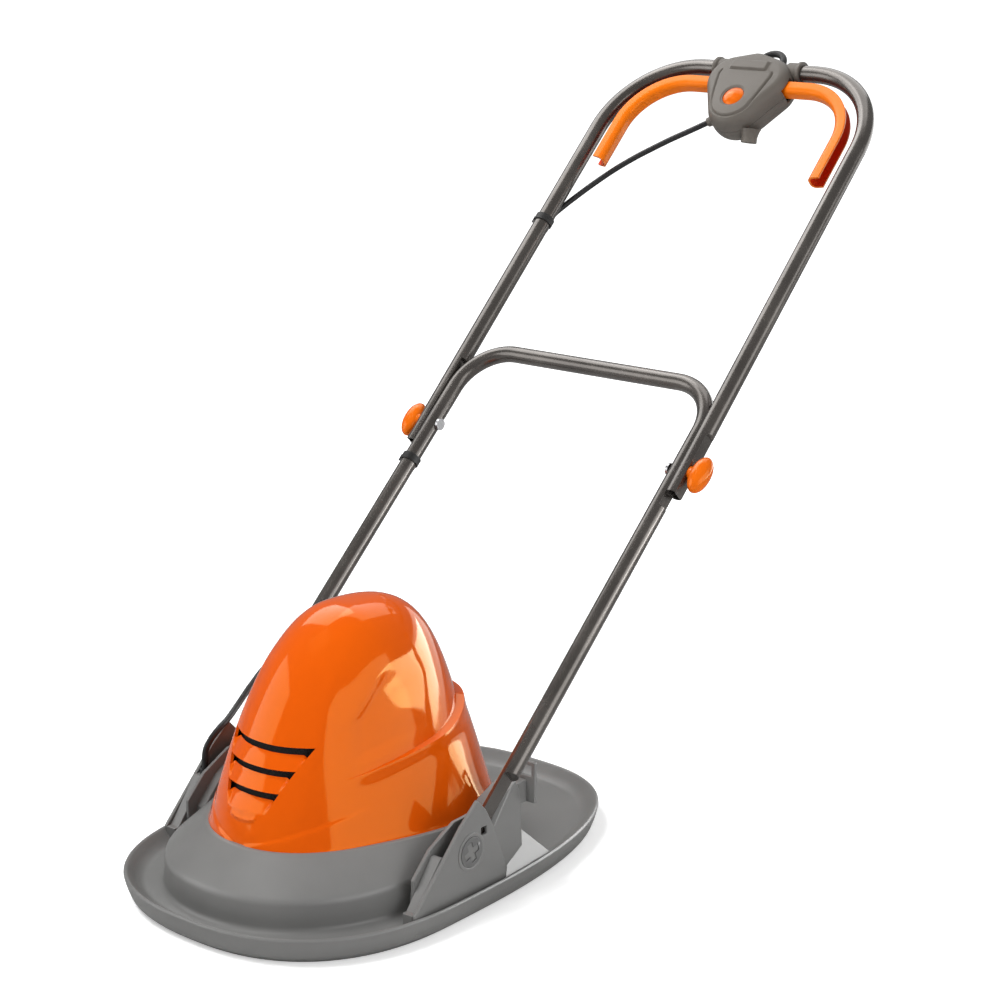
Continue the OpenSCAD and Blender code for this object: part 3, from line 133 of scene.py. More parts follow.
class Sock:
    """A shader output that can be used in arithmetic.

    Each operation adds one Math node to the graph that the socket belongs to.
    """

    def __init__(self, graph: Graph, socket: bpy.types.NodeSocket) -> None:
        """Wrap a socket of a graph."""
        self.graph = graph
        self.socket = socket

    def _math(self, operation: str, *values: Sock | float) -> Sock:
        """Add a Math node.

        Args:
            operation: Name of the operation.
            values: Inputs in order, sockets or numbers.

        Returns:
            The node's result.
        """
        return self.graph.add("ShaderNodeMath", {"operation": operation}, dict(enumerate(values)))

    def __add__(self, other: Sock | float) -> Sock:
        """Sum."""
        return self._math("ADD", self, other)

    __radd__ = __add__

    def __sub__(self, other: Sock | float) -> Sock:
        """Difference."""
        return self._math("SUBTRACT", self, other)

    def __mul__(self, other: Sock | float) -> Sock:
        """Product."""
        return self._math("MULTIPLY", self, other)

    def sine(self) -> Sock:
        """Sine."""
        return self._math("SINE", self)

    def size(self) -> Sock:
        """Absolute value."""
        return self._math("ABSOLUTE", self)

    def above(self, edge: float, width: float) -> Sock:
        """Soft step.

        Args:
            edge: Value where the step starts.
            width: Width of the step.

        Returns:
            A mask from 0 to 1.
        """
        settings = {"interpolation_type": "SMOOTHSTEP"}
        inputs = {"Value": self, "From Min": edge, "From Max": edge + width}
        return self.graph.add("ShaderNodeMapRange", settings, inputs)


class Graph:
    """The node tree of a material or of the world."""

    def __init__(self, owner: bpy.types.Material | bpy.types.World) -> None:
        """Start on a tree.

        Args:
            owner: A new material or world.
        """
        owner.use_nodes = True
        self.owner = owner
        self.tree = owner.node_tree

    @classmethod
    def material(cls, name: str) -> Graph:
        """Start a material with a bare Principled shader."""
        return cls(bpy.data.materials.new(name))

    def add(self, kind: str, settings: dict, inputs: dict, output: str | int = 0) -> Sock:
        """Add any node.

        Args:
            kind: Node type.
            settings: Properties of the node, set before its sockets.
            inputs: Values or sockets by input name or index.
            output: Output that is returned.

        Returns:
            The wrapped output.
        """
        node = self.tree.nodes.new(kind)
        for key, value in settings.items():
            setattr(node, key, value)
        for key, value in inputs.items():
            self.feed(node.inputs[key], value)
        return Sock(self, node.outputs[output])

    def feed(self, target: bpy.types.NodeSocket, value: Sock | float | Point) -> None:
        """Link a socket or set a plain value.

        Args:
            target: Input that is fed.
            value: Socket or plain value.
        """
        if isinstance(value, Sock):
            self.tree.links.new(value.socket, target)
        else:
            target.default_value = value

    def set(self, **values: Sock | float | Point) -> None:
        """Feed the Principled shader.

        Args:
            values: Sockets or plain values by input name, with underscores for spaces.
        """
        shader = self.tree.nodes["Principled BSDF"]
        for key, value in values.items():
            self.feed(shader.inputs[key.replace("_", " ")], value)

    def place(self) -> Sock:
        """Object coordinates in metres."""
        return self.add("ShaderNodeTexCoord", {}, {}, "Object")

    def ray(self, kind: str) -> Sock:
        """Whether a ray is of a kind, 0 or 1."""
        return self.add("ShaderNodeLightPath", {}, {}, kind)

    def noise(self, scale: float, detail: float, stretch: Point = (1, 1, 1)) -> Sock:
        """Fractal noise.

        Args:
            scale: Features a metre.
            detail: Octaves.
            stretch: Scale of each axis.

        Returns:
            The noise value.
        """
        place = self.add("ShaderNodeMapping", {}, {"Vector": self.place(), "Scale": tuple(stretch)})
        return self.add("ShaderNodeTexNoise", {}, {"Vector": place, "Scale": scale, "Detail": detail})

    def mix(self, mask: Sock, low: Sock | Point, high: Sock | Point) -> Sock:
        """Blend two colours.

        Args:
            mask: Share of the second.
            low: First colour.
            high: Second colour.

        Returns:
            The colour.
        """
        sides = [v if isinstance(v, Sock) else (*v, 1.0) for v in (low, high)]
        inputs = {0: mask, 6: sides[0], 7: sides[1]}
        return self.add("ShaderNodeMix", {"data_type": "RGBA"}, inputs, 2)

    def bump(self, height: Sock, distance: float, strength: float = 1.0) -> Sock:
        """Turn a height into a normal.

        Args:
            height: Height from 0 to 1.
            distance: Height of 1, in metres.
            strength: Share of the bump.

        Returns:
            The normal.
        """
        inputs = {"Height": height, "Distance": distance, "Strength": strength}
        return self.add("ShaderNodeBump", {}, inputs)


# Finishes


@dataclass(frozen=True)
class Moulding:
    """A moulded plastic with a fine spark-eroded grain and faint handling marks."""

    name: str
    colour: Point
    worn: Point
    roughness: float
    grain: float
    grain_depth: float
    coat: float = 0.0
    sheen: Point = (1.0, 1.0, 1.0)

    def make(self) -> bpy.types.Material:
        """Build the material.

        Returns:
            The material.
        """
        g = Graph.material(self.name)
        cloud = g.noise(9.0, 4.0)
        speck = g.noise(self.grain, 2.0)
        scuff = g.noise(160.0, 3.0, (1.0, 0.25, 1.0)).above(0.62, 0.14)
        tone = g.mix(cloud.above(0.35, 0.4), self.colour, self.worn)
        g.set(
            Base_Color=g.mix(scuff * 0.12, tone, self.worn),
            Roughness=self.roughness + (cloud - 0.5) * 0.12 + scuff * 0.06,
            Normal=g.bump(speck, self.grain_depth),
            Coat_Weight=self.coat,
            Coat_Roughness=0.12,
            Specular_Tint=(*self.sheen, 1.0),
        )
        return g.owner


@dataclass(frozen=True)
class GlossShell:
    """A glossy moulded shell: a clear skin over a deep colour, with a trace of moulding ripple."""

    name: str
    colour: Point
    deep: Point
    roughness: float
    coat: float

    def make(self) -> bpy.types.Material:
        """Build the material.

        Returns:
            The material.
        """
        g = Graph.material(self.name)
        cloud = g.noise(6.0, 3.0)
        ripple = g.noise(34.0, 1.0)
        dust = g.noise(900.0, 2.0).above(0.68, 0.1)
        g.set(
            Base_Color=g.mix(cloud.above(0.3, 0.5), self.deep, self.colour),
            Roughness=self.roughness + (cloud - 0.5) * 0.05 + dust * 0.05,
            Normal=g.bump(ripple, 0.0004, 0.35),
            Coat_Weight=self.coat,
            Coat_Roughness=0.03,
            Specular_Tint=(1.0, 0.72, 0.12, 1.0),
            IOR=1.5,
        )
        return g.owner


@dataclass(frozen=True)
class TubePaint:
    """Powder paint on tube, with orange-peel texture and slight thinning."""

    name: str
    colour: Point
    thin: Point
    roughness: float

    def make(self) -> bpy.types.Material:
        """Build the material.

        Returns:
            The material.
        """
        g = Graph.material(self.name)
        cloud = g.noise(22.0, 3.0)
        peel = g.noise(1500.0, 2.0)
        nick = g.noise(420.0, 2.0, (1.0, 0.4, 0.4)).above(0.72, 0.06)
        tone = g.mix(cloud.above(0.3, 0.45), self.colour, self.thin)
        g.set(
            Base_Color=g.mix(nick * 0.25, tone, self.thin),
            Roughness=self.roughness + (cloud - 0.5) * 0.1,
            Metallic=0.75,
            Normal=g.bump(peel, 0.00006),
            Coat_Weight=0.7,
            Coat_Roughness=0.14,
        )
        return g.owner


@dataclass(frozen=True)
class Metal:
    """Bare or plated metal with fine turning marks."""

    name: str
    colour: Point
    roughness: float
    lines: Point = (1.0, 1.0, 40.0)

    def make(self) -> bpy.types.Material:
        """Build the material.

        Returns:
            The material.
        """
        g = Graph.material(self.name)
        marks = g.noise(180.0, 3.0, self.lines)
        stain = g.noise(40.0, 3.0)
        dark = tuple(c * 0.7 for c in self.colour)
        g.set(
            Base_Color=g.mix(stain.above(0.45, 0.3), self.colour, dark),
            Metallic=1.0,
            Roughness=self.roughness + (marks - 0.5) * 0.2,
            Normal=g.bump(marks, 0.00003),
        )
        return g.owner


@dataclass(frozen=True)
class Weave:
    """A black woven filter: crossed threads in relief, with painted shade, near black, in the gaps between
    them.
    """

    name: str
    colour: Point
    # Near-black painted shade in the gaps between the threads
    gap: Point
    pitch: float

    def make(self) -> bpy.types.Material:
        """Build the material.

        Returns:
            The material.
        """
        g = Graph.material(self.name)
        x, y, z = (g.add("ShaderNodeSeparateXYZ", {}, {0: g.place()}, axis) for axis in range(3))
        turn = 2 * math.pi / self.pitch
        across = (x * turn).sine().size()
        along = ((z + y * 0.5) * turn).sine().size()
        thread = (across + along) * 0.5
        fray = g.noise(2200.0, 2.0)
        # Base colour runs from the painted shade of the gaps to the thread colour
        g.set(
            Base_Color=g.mix(thread.above(0.35, 0.35), self.gap, self.colour),
            Roughness=0.75 + (fray - 0.5) * 0.2,
            Normal=g.bump(thread + fray * 0.3, 0.0008),
        )
        return g.owner


class Finishes:
    """Every material of the mower, made once."""

    WARM = (1.0, 0.7, 0.2)

    def __init__(self) -> None:
        """Make all materials."""
        self.deck = Moulding(
            "deck_grey_moulding", (0.166, 0.165, 0.161), (0.191, 0.19, 0.185), 0.34, 2600.0, 6e-5
        ).make()
        self.hood = GlossShell(
            "hood_orange_gloss", (0.75, 0.1, 0.002), (0.71, 0.088, 0.002), 0.08, 0.09
        ).make()
        self.lever = Moulding(
            "lever_orange_moulding", (0.8, 0.16, 0.003), (0.74, 0.14, 0.003), 0.3, 1800.0, 3e-5, 0.08,
            self.WARM,
        ).make()
        # A darker, redder copy of the lever orange: painted shade for the inside of the lever's channel
        self.inside = Moulding(
            "lever_inside_painted_shade", (0.75, 0.03, 0.003), (0.68, 0.025, 0.003), 0.5, 1800.0, 3e-5, 0.0,
            self.WARM,
        ).make()
        self.knob = Moulding(
            "knob_orange_moulding", (0.78, 0.14, 0.003), (0.72, 0.12, 0.003), 0.15, 1800.0, 2e-5, 0.2,
            self.WARM,
        ).make()
        self.box = Moulding(
            "switch_box_taupe_moulding", (0.104, 0.092, 0.079), (0.122, 0.109, 0.094), 0.48, 2200.0, 1e-4
        ).make()
        self.plug = Moulding(
            "plug_grey_moulding", (0.11, 0.11, 0.108), (0.13, 0.13, 0.128), 0.45, 2600.0, 6e-5
        ).make()
        self.black = Moulding(
            "black_moulding", (0.012, 0.012, 0.012), (0.022, 0.022, 0.022), 0.5, 2000.0, 8e-5
        ).make()
        self.rubber = Moulding(
            "lead_black_rubber", (0.012, 0.012, 0.013), (0.02, 0.02, 0.021), 0.42, 1500.0, 5e-5
        ).make()
        self.tube = TubePaint(
            "tube_graphite_paint", (0.105, 0.094, 0.085), (0.145, 0.131, 0.119), 0.26
        ).make()
        self.steel = Metal("plated_steel", (0.55, 0.55, 0.56), 0.3).make()
        self.iron = Metal("laminated_iron", (0.2, 0.2, 0.21), 0.5, (1.0, 1.0, 300.0)).make()
        self.copper = Metal("wound_copper", (0.72, 0.3, 0.13), 0.35, (1.0, 1.0, 160.0)).make()
        # The near-black gap colour is painted shade between the threads
        self.weave = Weave("filter_black_weave", (0.03, 0.03, 0.03), (0.002, 0.002, 0.002), 0.0026).make()


# Shape building


@dataclass(frozen=True)
class Frame:
    """A frame that leans about X. Lengths in it are millimetres, and its result is in metres."""

    origin: Point
    tilt: float

    def place(self, points: Iterable[Point]) -> np.ndarray:
        """Move points from this frame to the shared frame.

        Args:
            points: Points in millimetres.

        Returns:
            The points in metres.
        """
        p = np.asarray(points, float) * MM
        c, s = math.cos(self.tilt), math.sin(self.tilt)
        y = p[:, 1] * c - p[:, 2] * s
        z = p[:, 1] * s + p[:, 2] * c
        return np.stack([p[:, 0], y, z], axis=1) + np.asarray(self.origin)


class Layout:
    """The machine's frames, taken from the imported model's joints."""

    def __init__(self, joints: Sequence[dict]) -> None:
        """Read the joints' places.

        Args:
            joints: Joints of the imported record.
        """
        at = {j["name"]: j for j in joints}
        pivot, fold = at["handle_tilt"]["pos_m"], at["handle_fold"]["pos_m"]
        motor = at["rotor_spin"]["pos_m"]
        normal = at["lock_button_press"]["axis"]
        self.shared = Frame((0.0, 0.0, 0.0), 0.0)
        self.deck = Frame((0.0, motor[1], 0.0), 0.0)
        self.lower = Frame(fold, math.atan2(fold[2] - pivot[2], fold[1] - pivot[1]))
        self.upper = Frame(fold, math.atan2(abs(normal[1]), abs(normal[2])))


def signed_power(value: np.ndarray, power: np.ndarray | float) -> np.ndarray:
    """Power that keeps the sign."""
    return np.sign(value) * np.abs(value) ** power


def ease(value: np.ndarray) -> np.ndarray:
    """Smooth step from 0 to 1."""
    w = np.clip(value, 0.0, 1.0)
    return w * w * (3 - 2 * w)


def bell(value: np.ndarray) -> np.ndarray:
    """Bell curve of height 1 about 0."""
    return np.exp(-(value**2))


def circle(count: int) -> np.ndarray:
    """Even angles round a circle, in radians."""
    return np.linspace(0, 2 * math.pi, count, endpoint=False)


def passes(stops: Sequence[tuple[float, int]]) -> np.ndarray:
    """Values that pass from stop to stop.

    Args:
        stops: Values, each with the number of steps from the one before.

    Returns:
        The values, from the first stop to the last.
    """
    values = [stops[0][0]]
    for (a, _), (b, count) in zip(stops, stops[1:]):
        values.extend(np.linspace(a, b, count + 1)[1:])
    return np.array(values)


def rectangle(a0: float, b0: float, a1: float, b1: float) -> list[Point]:
    """Outline of a rectangle between two corners."""
    return [(a0, b0), (a1, b0), (a1, b1), (a0, b1)]


def arc(middle: Point, radius: float, start: float, stop: float, count: int) -> list[Point]:
    """Points of a flat arc between two angles in degrees."""
    turns = np.radians(np.linspace(start, stop, count))
    return [(middle[0] + radius * math.cos(k), middle[1] + radius * math.sin(k)) for k in turns]


def hoops(
    profile: Sequence[Point],
    count: int,
    axis: Point,
    middle: Point = (0.0, 0.0, 0.0),
    across: Point = (0.0, 1.0, 0.0),
    up: Point = (0.0, 0.0, 1.0),
) -> np.ndarray:
    """Rings of a profile that is turned about an axis.

    Args:
        profile: Pairs of radius and place along the axis.
        count: Points in each ring.
        axis: Direction of the axis.
        middle: The axis's point at place 0.
        across: Direction of a ring's first point.
        up: Direction a quarter turn on.

    Returns:
        Points by ring and place in the ring.
    """
    turns = circle(count)[:, None]
    way = np.cos(turns) * across + np.sin(turns) * up
    return np.array([np.add(middle, np.multiply(axis, d)) + r * way for r, d in profile])


def smooth_path(points: Sequence[Point], steps: int) -> np.ndarray:
    """Catmull-Rom curve through points.

    Args:
        points: Points the curve passes.
        steps: Steps between two points.

    Returns:
        Points of the curve.
    """
    p = np.asarray(points, float)
    p = np.vstack([2 * p[0] - p[1], p, 2 * p[-1] - p[-2]])
    out = []
    for a, b, c, d in zip(p, p[1:], p[2:], p[3:]):
        square, cube = 2 * a - 5 * b + 4 * c - d, 3 * b - a - 3 * c + d
        for k in range(steps):
            t = k / steps
            out.append(0.5 * (2 * b + (c - a) * t + square * t**2 + cube * t**3))
    out.append(p[-2])
    return np.array(out)


def shade(mesh: bpy.types.Mesh, sharp: float = SHARP) -> None:
    """Shade a mesh smooth but for the edges over an angle in degrees."""
    mesh.polygons.foreach_set("use_smooth", [True] * len(mesh.polygons))
    mesh.set_sharp_from_angle(angle=math.radians(sharp))


class Shape:
    """A mesh that is being gathered, in the millimetres of one frame."""

    ASIDE = (0.31, 0.17, 0.93)

    def __init__(self) -> None:
        """Start empty."""
        self.points: list[Point] = []
        self.faces: list[tuple[int, ...]] = []

    def add(self, points: np.ndarray) -> np.ndarray:
        """Add points.

        Args:
            points: An array whose last axis holds x, y and z.

        Returns:
            Their numbers, in the array's other axes.
        """
        flat = points.reshape(-1, 3)
        start = len(self.points)
        self.points.extend(map(tuple, flat))
        return np.arange(start, start + len(flat)).reshape(points.shape[:-1])

    def quads(self, index: np.ndarray, closed: bool, keep: np.ndarray | None = None) -> None:
        """Fill a grid of numbers with quads.

        Args:
            index: Numbers by row and column.
            closed: Whether the last column joins the first.
            keep: Mask of the quads that are made.
        """
        rows, cols = index.shape
        for r in range(rows - 1):
            for c in range(cols if closed else cols - 1):
                if keep is None or keep[r, c]:
                    n = (c + 1) % cols
                    self.faces.append((index[r, c], index[r, n], index[r + 1, n], index[r + 1, c]))

    def loft(self, rings: np.ndarray) -> None:
        """Skin a row of rings and fill the first and the last.

        Args:
            rings: Points by ring and place in the ring.
        """
        index = self.add(rings)
        self.quads(index, True)
        self.faces += [tuple(index[0]), tuple(index[-1])]

    def wrap(self, rings: np.ndarray) -> None:
        """Skin a row of rings whose last joins the first."""
        self.quads(self.add(np.concatenate([rings, rings[:1]])), True)

    def shell(
        self, points: np.ndarray, wall: float, keep: np.ndarray, way: int
    ) -> tuple[np.ndarray, np.ndarray]:
        """Give a closed grid a wall, with openings where quads are left out.

        Args:
            points: Points of the outer skin by row and column.
            wall: Thickness.
            keep: Mask of the quads that are made.
            way: 1 if the columns run anticlockwise seen from the last row, else -1.

        Returns:
            Numbers of the outer and of the inner points.
        """
        across = np.roll(points, -1, axis=1) - np.roll(points, 1, axis=1)
        normal = np.cross(across, np.gradient(points, axis=0)) * way
        normal /= np.linalg.norm(normal, axis=-1)[..., None] + 1e-12
        outer, inner = self.add(points), self.add(points - wall * normal)
        self.quads(outer, True, keep)
        self.quads(inner, True, keep)
        cols = points.shape[1]
        for r in range(keep.shape[0]):
            for c in range(cols):
                n = (c + 1) % cols
                if keep[r, c] != (r > 0 and keep[r - 1, c]):
                    self.faces.append((outer[r, c], outer[r, n], inner[r, n], inner[r, c]))
                if keep[r, c] != keep[r, n]:
                    self.faces.append((outer[r, n], outer[r + 1, n], inner[r + 1, n], inner[r, n]))
        return outer, inner

    def prism(
        self, loops: Sequence[Sequence[Point]], x0: float, x1: float, side: Side = Side.RIGHT
    ) -> None:
        """Extrude an outline of y and z along x.

        Args:
            loops: The outline, then any holes.
            x0: Place of the inner face.
            x1: Place of the outer face.
            side: Side of the machine.
        """
        flat = [[Vector((y, z, 0.0)) for y, z in loop] for loop in loops]
        spots = [p for loop in loops for p in loop]
        near, far = (self.add(np.array([(side.value * x, y, z) for y, z in spots], float)) for x in (x0, x1))
        for triangle in geometry.tessellate_polygon(flat):
            for face in (near, far):
                self.faces.append(tuple(face[i] for i in triangle))
        start = 0
        for loop in loops:
            walls = slice(start, start + len(loop))
            self.quads(np.array([near[walls], far[walls]]), True)
            start += len(loop)

    def tube(self, path: np.ndarray, radius: Sequence[float] | float, sides: int = 20) -> None:
        """Sweep a circle along a path.

        Args:
            path: Points of the middle line.
            radius: One radius, or one for each point.
            sides: Sides of the circle.
        """
        radii = np.broadcast_to(np.asarray(radius, float), (len(path),))
        along = np.gradient(path, axis=0)
        along /= np.linalg.norm(along, axis=1)[:, None]
        up = np.cross(along[0], self.ASIDE)
        rings = []
        for p, a, r in zip(path, along, radii):
            up = up - a * np.dot(up, a)
            up /= np.linalg.norm(up)
            across = np.cross(a, up)
            rings.append([p + r * (math.cos(k) * up + math.sin(k) * across) for k in circle(sides)])
        self.loft(np.array(rings))

    def make(
        self, name: str, frame: Frame, material: bpy.types.Material, sharp: float = SHARP
    ) -> bpy.types.Object:
        """Turn the gathered mesh into an object.

        Args:
            name: Name of the piece.
            frame: Frame of the points.
            material: Its finish.
            sharp: Angle in degrees above which an edge stays crisp.

        Returns:
            The object, in place in the shared frame.
        """
        mesh = bpy.data.meshes.new(name)
        faces = [tuple(int(i) for i in f) for f in self.faces]
        mesh.from_pydata(frame.place(self.points).tolist(), [], faces)
        work = bmesh.new()
        work.from_mesh(mesh)
        bmesh.ops.remove_doubles(work, verts=work.verts, dist=1e-7)
        bmesh.ops.recalc_face_normals(work, faces=work.faces)
        work.to_mesh(mesh)
        work.free()
        shade(mesh, sharp)
        mesh.materials.append(material)
        piece = bpy.data.objects.new(name, mesh)
        bpy.context.scene.collection.objects.link(piece)
        return piece


def bevel(piece: bpy.types.Object, width: float) -> bpy.types.Object:
    """Round a piece's crisp edges.

    Args:
        piece: The piece.
        width: Width in millimetres.

    Returns:
        The piece.
    """
    modifier = piece.modifiers.new("edge", "BEVEL")
    modifier.width = width * MM
    modifier.segments = 3
    modifier.limit_method = "ANGLE"
    modifier.angle_limit = math.radians(BEVEL_FROM)
    modifier.harden_normals = True
    return piece


def shave(piece: bpy.types.Object, spot: Point, normal: Point) -> None:
    """Cut off what lies over a plane and close the cut.

    Args:
        piece: Object whose mesh is cut.
        spot: A point of the plane, in metres.
        normal: Direction of what is cut off.
    """
    work = bmesh.new()
    work.from_mesh(piece.data)
    parts = [*work.verts, *work.edges, *work.faces]
    made = bmesh.ops.bisect_plane(work, geom=parts, plane_co=spot, plane_no=normal, clear_outer=True)
    edges = [part for part in made["geom_cut"] if isinstance(part, bmesh.types.BMEdge)]
    bmesh.ops.holes_fill(work, edges=edges)
    bmesh.ops.recalc_face_normals(work, faces=work.faces)
    work.to_mesh(piece.data)
    work.free()
    shade(piece.data)


def settle(
    piece: bpy.types.Object,
    part: Part,
    slot: Slot,
    node: str,
    far: Part | None = None,
) -> None:
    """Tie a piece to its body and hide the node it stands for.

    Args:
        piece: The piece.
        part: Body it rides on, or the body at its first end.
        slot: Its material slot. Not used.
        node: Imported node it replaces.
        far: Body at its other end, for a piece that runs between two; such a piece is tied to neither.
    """
    if far is None:
        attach(piece, part.value)
    else:
        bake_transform(piece)
    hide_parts(node)
    LOG.info("%s on %s", piece.name, part.value if far is None else f"{part.value} and {far.value}")


# Sub-assemblies


@dataclass
class Assembly:
    """A sub-assembly, with the frames and the materials that it is built from."""

    layout: Layout
    finish: Finishes


@dataclass
class Sided(Assembly):
    """A sub-assembly of one side of the machine."""

    side: Side


@dataclass
class MotorHood(Assembly):
    """The domed hood with its flare, swoosh step, scoop and louvred air slots.

    A turn is an angle from the front, negative to the left. h is its size less 90, so -90 at the front.
    """

    ledge: float = 77.0
    top: float = 278.0
    half_w: float = 116.0
    front: float = 96.0
    rear: float = 179.0
    apex_y: float = 58.0
    shift: float = 31.0
    wall: float = 3.0
    power: float = 2.2
    flare_low: float = 15.0
    flare_high: float = 6.0
    flare_start: float = -38.0
    flare_full: float = 14.0
    swoosh_low: float = 153.5
    swoosh_rise: float = 0.4
    swoosh_top: float = 172.0
    swoosh_step: float = 1.0
    slot_top: float = 168.5
    slot_pitch: float = 20.5
    slot_h: float = 9.5
    slot_half_w: float = 51.5
    slot_taper: float = 0.44
    slot_count: int = 3
    slot_turn: float = 33.0
    slot_blend: float = 25.0
    shoulder_turn: float = 58.0
    louvre: float = 4.0
    louvre_end: float = 3.2
    crease_rise: float = 1.2
    crease_z: float = 131.0
    crease_slope: float = 0.61
    crease_start: float = -26.0
    scoop_depth: float = 2.2
    scoop_low: float = 186.0
    scoop_high: float = 236.0
    scoop_start: float = -40.0
    scoop_width: float = 44.0
    corner_rise: float = 1.1
    corner_width: float = 7.0
    corner_low: float = 92.0
    corner_high: float = 250.0
    lip_rise: float = 1.7
    lip_width: float = 8.0
    lip_start: float = -42.0
    smile_rise: float = 1.3
    smile_z: float = 99.8
    smile_curve: float = 2.9
    smile_half_w: float = 16.0
    smile_width: float = 1.5
    smile_end: float = 17.5
    filter_turn: float = 34.0
    filter_z: Point = (106.0, 175.0)
    filter_depths: Point = (8.5, 9.6)
    filter_grid: tuple[int, int] = (60, 30)
    slot_columns: int = 47
    side_columns: int = 27
    rear_columns: int = 95
    foot_rows: int = 30
    slot_rows: int = 8
    strip_rows: int = 9
    crown_rows: int = 55
    crown_end: float = 0.985
    crown_power: float = 2.2
    SIDE = (0.724, 2.882)
    AHEAD = (1.114, 2.205)
    BEHIND = (2.444, 3.517)

    def radius(self, z: np.ndarray) -> tuple[np.ndarray, ...]:
        """Reaches of the plain dome.

        Args:
            z: Heights.

        Returns:
            Half width, front reach, rear reach and widest place.
        """
        u = np.clip((z - self.ledge) / (self.top - self.ledge), 0.0, 1.0)
        side, ahead, behind = ((1 - u**a) ** (1 / b) for a, b in (self.SIDE, self.AHEAD, self.BEHIND))
        back = self.shift * (1 - u)
        return (
            self.half_w * side,
            (self.front + self.apex_y) * ahead + back,
            (self.rear - self.apex_y) * behind - back,
            self.apex_y + back,
        )

    def point(self, turn: np.ndarray, z: np.ndarray, proud: np.ndarray) -> np.ndarray:
        """Points of the skin.

        Args:
            turn: Turns in degrees.
            z: Heights.
            proud: How far each point stands out.

        Returns:
            Points with x, y and z on the last axis.
        """
        side, ahead, behind, mid = self.radius(z)
        across = np.sin(np.radians(turn))
        along = -np.cos(np.radians(turn))
        x = side * signed_power(across, 2 / self.power)
        dy = np.where(along < 0, ahead, behind) * signed_power(along, 2 / self.power)
        away = np.hypot(x, dy) + 1e-9
        return np.stack([x + proud * x / away, mid + dy + proud * dy / away, z], axis=-1)

    def slot_end(self, z: np.ndarray) -> np.ndarray:
        """Half length of a slot at a height."""
        return self.slot_half_w - self.slot_taper * (self.slot_top - z)

    def fade(self, h: np.ndarray) -> np.ndarray:
        """How far the flare has come in, from 0 to 1."""
        return ease((h - self.flare_start) / (self.flare_full - self.flare_start))

    def flare(self, h: np.ndarray, share: np.ndarray) -> np.ndarray:
        """How far the flare stands out at a share of its height."""
        return self.fade(h) * (self.flare_low + (self.flare_high - self.flare_low) * share)

    def columns(self) -> np.ndarray:
        """Turns of the columns.

        Returns:
            Turns from -180 to 180.
        """
        half = passes(
            (
                (0.0, 0),
                (self.slot_turn, self.slot_columns),
                (self.shoulder_turn, self.side_columns),
                (180.0, self.rear_columns),
            )
        )
        return np.concatenate([-half[:0:-1], half[:-1]])

    def heights(self) -> tuple[np.ndarray, np.ndarray]:
        """Heights of the rows at the front.

        Returns:
            Those under the swoosh and those over it.
        """
        highs = [self.slot_top - k * self.slot_pitch for k in range(self.slot_count)]
        lows = [high - self.slot_h for high in highs]
        slot, strip = self.slot_rows, self.strip_rows
        split = self.swoosh_low + self.swoosh_rise * self.flare_start
        under = passes(((self.ledge, 0), (lows[2], self.foot_rows), (highs[2], slot), (split, strip)))
        over = passes(((lows[1], 0), (highs[1], slot), (lows[0], strip), (highs[0], slot)))
        share = 1 - np.linspace(0.0, self.crown_end, self.crown_rows + 1)[1:]
        crown = highs[0] + (self.top - highs[0]) * (1 - share**self.crown_power)
        return under, np.concatenate([over, crown])

    def skin(self) -> tuple[np.ndarray, np.ndarray]:
        """Grid of the outer skin.

        Returns:
            Points by row and column, and the mask of the quads that are kept.
        """
        turns = self.columns()
        under, over = self.heights()
        base = np.concatenate([under, over])[:, None]
        split, first = under[-1], over[0]
        turn = np.broadcast_to(turns, (len(base), len(turns)))
        share = np.clip(self.slot_end(base) / self.radius(base)[0], 0, 1)
        reach = np.degrees(np.arcsin(share ** (self.power / 2)))
        low = self.slot_top - (self.slot_count - 0.4) * self.slot_pitch
        slotted = (base >= low) & (base <= self.slot_top)
        reach = np.interp(base, base[slotted], reach[slotted])
        away = ease((np.abs(turn) - self.slot_turn) / self.slot_blend)
        turn = turn * (1 + (reach / self.slot_turn - 1) * (1 - away))
        h = np.abs(turn) - 90
        rise = self.swoosh_rise * np.maximum(h, self.flare_start)
        swoosh = np.minimum(self.swoosh_top, self.swoosh_low + rise)
        start = swoosh + first - split + self.swoosh_step * self.fade(h)
        share = (base - self.ledge) / (split - self.ledge)
        z = np.where(
            base <= split,
            self.ledge + share * (swoosh - self.ledge),
            start + (base - first) / (self.top - first) * (self.top - start),
        )
        proud = np.where(base <= split, self.flare(h, np.clip(share, 0, 1)), 0.0)
        points = self.point(turn, z, proud + self.relief(turn, h, z, swoosh))
        return points, self.kept(base[:, 0], len(turns))

    def kept(self, base: np.ndarray, columns: int) -> np.ndarray:
        """Find the skin's quads that aren't in a slot.

        Args:
            base: Heights of the rows at the front.
            columns: Number of columns.

        Returns:
            Their mask.
        """
        keep = np.ones((len(base) - 1, columns), bool)
        below, above, slack = base[:-1], base[1:], 0.05
        middle = columns // 2
        slot = range(middle - self.slot_columns, middle + self.slot_columns)
        for k in range(self.slot_count):
            top = self.slot_top - k * self.slot_pitch
            rows = (below > top - self.slot_h - slack) & (above < top + slack) & (above > below)
            keep[np.ix_(rows, slot)] = False
        return keep

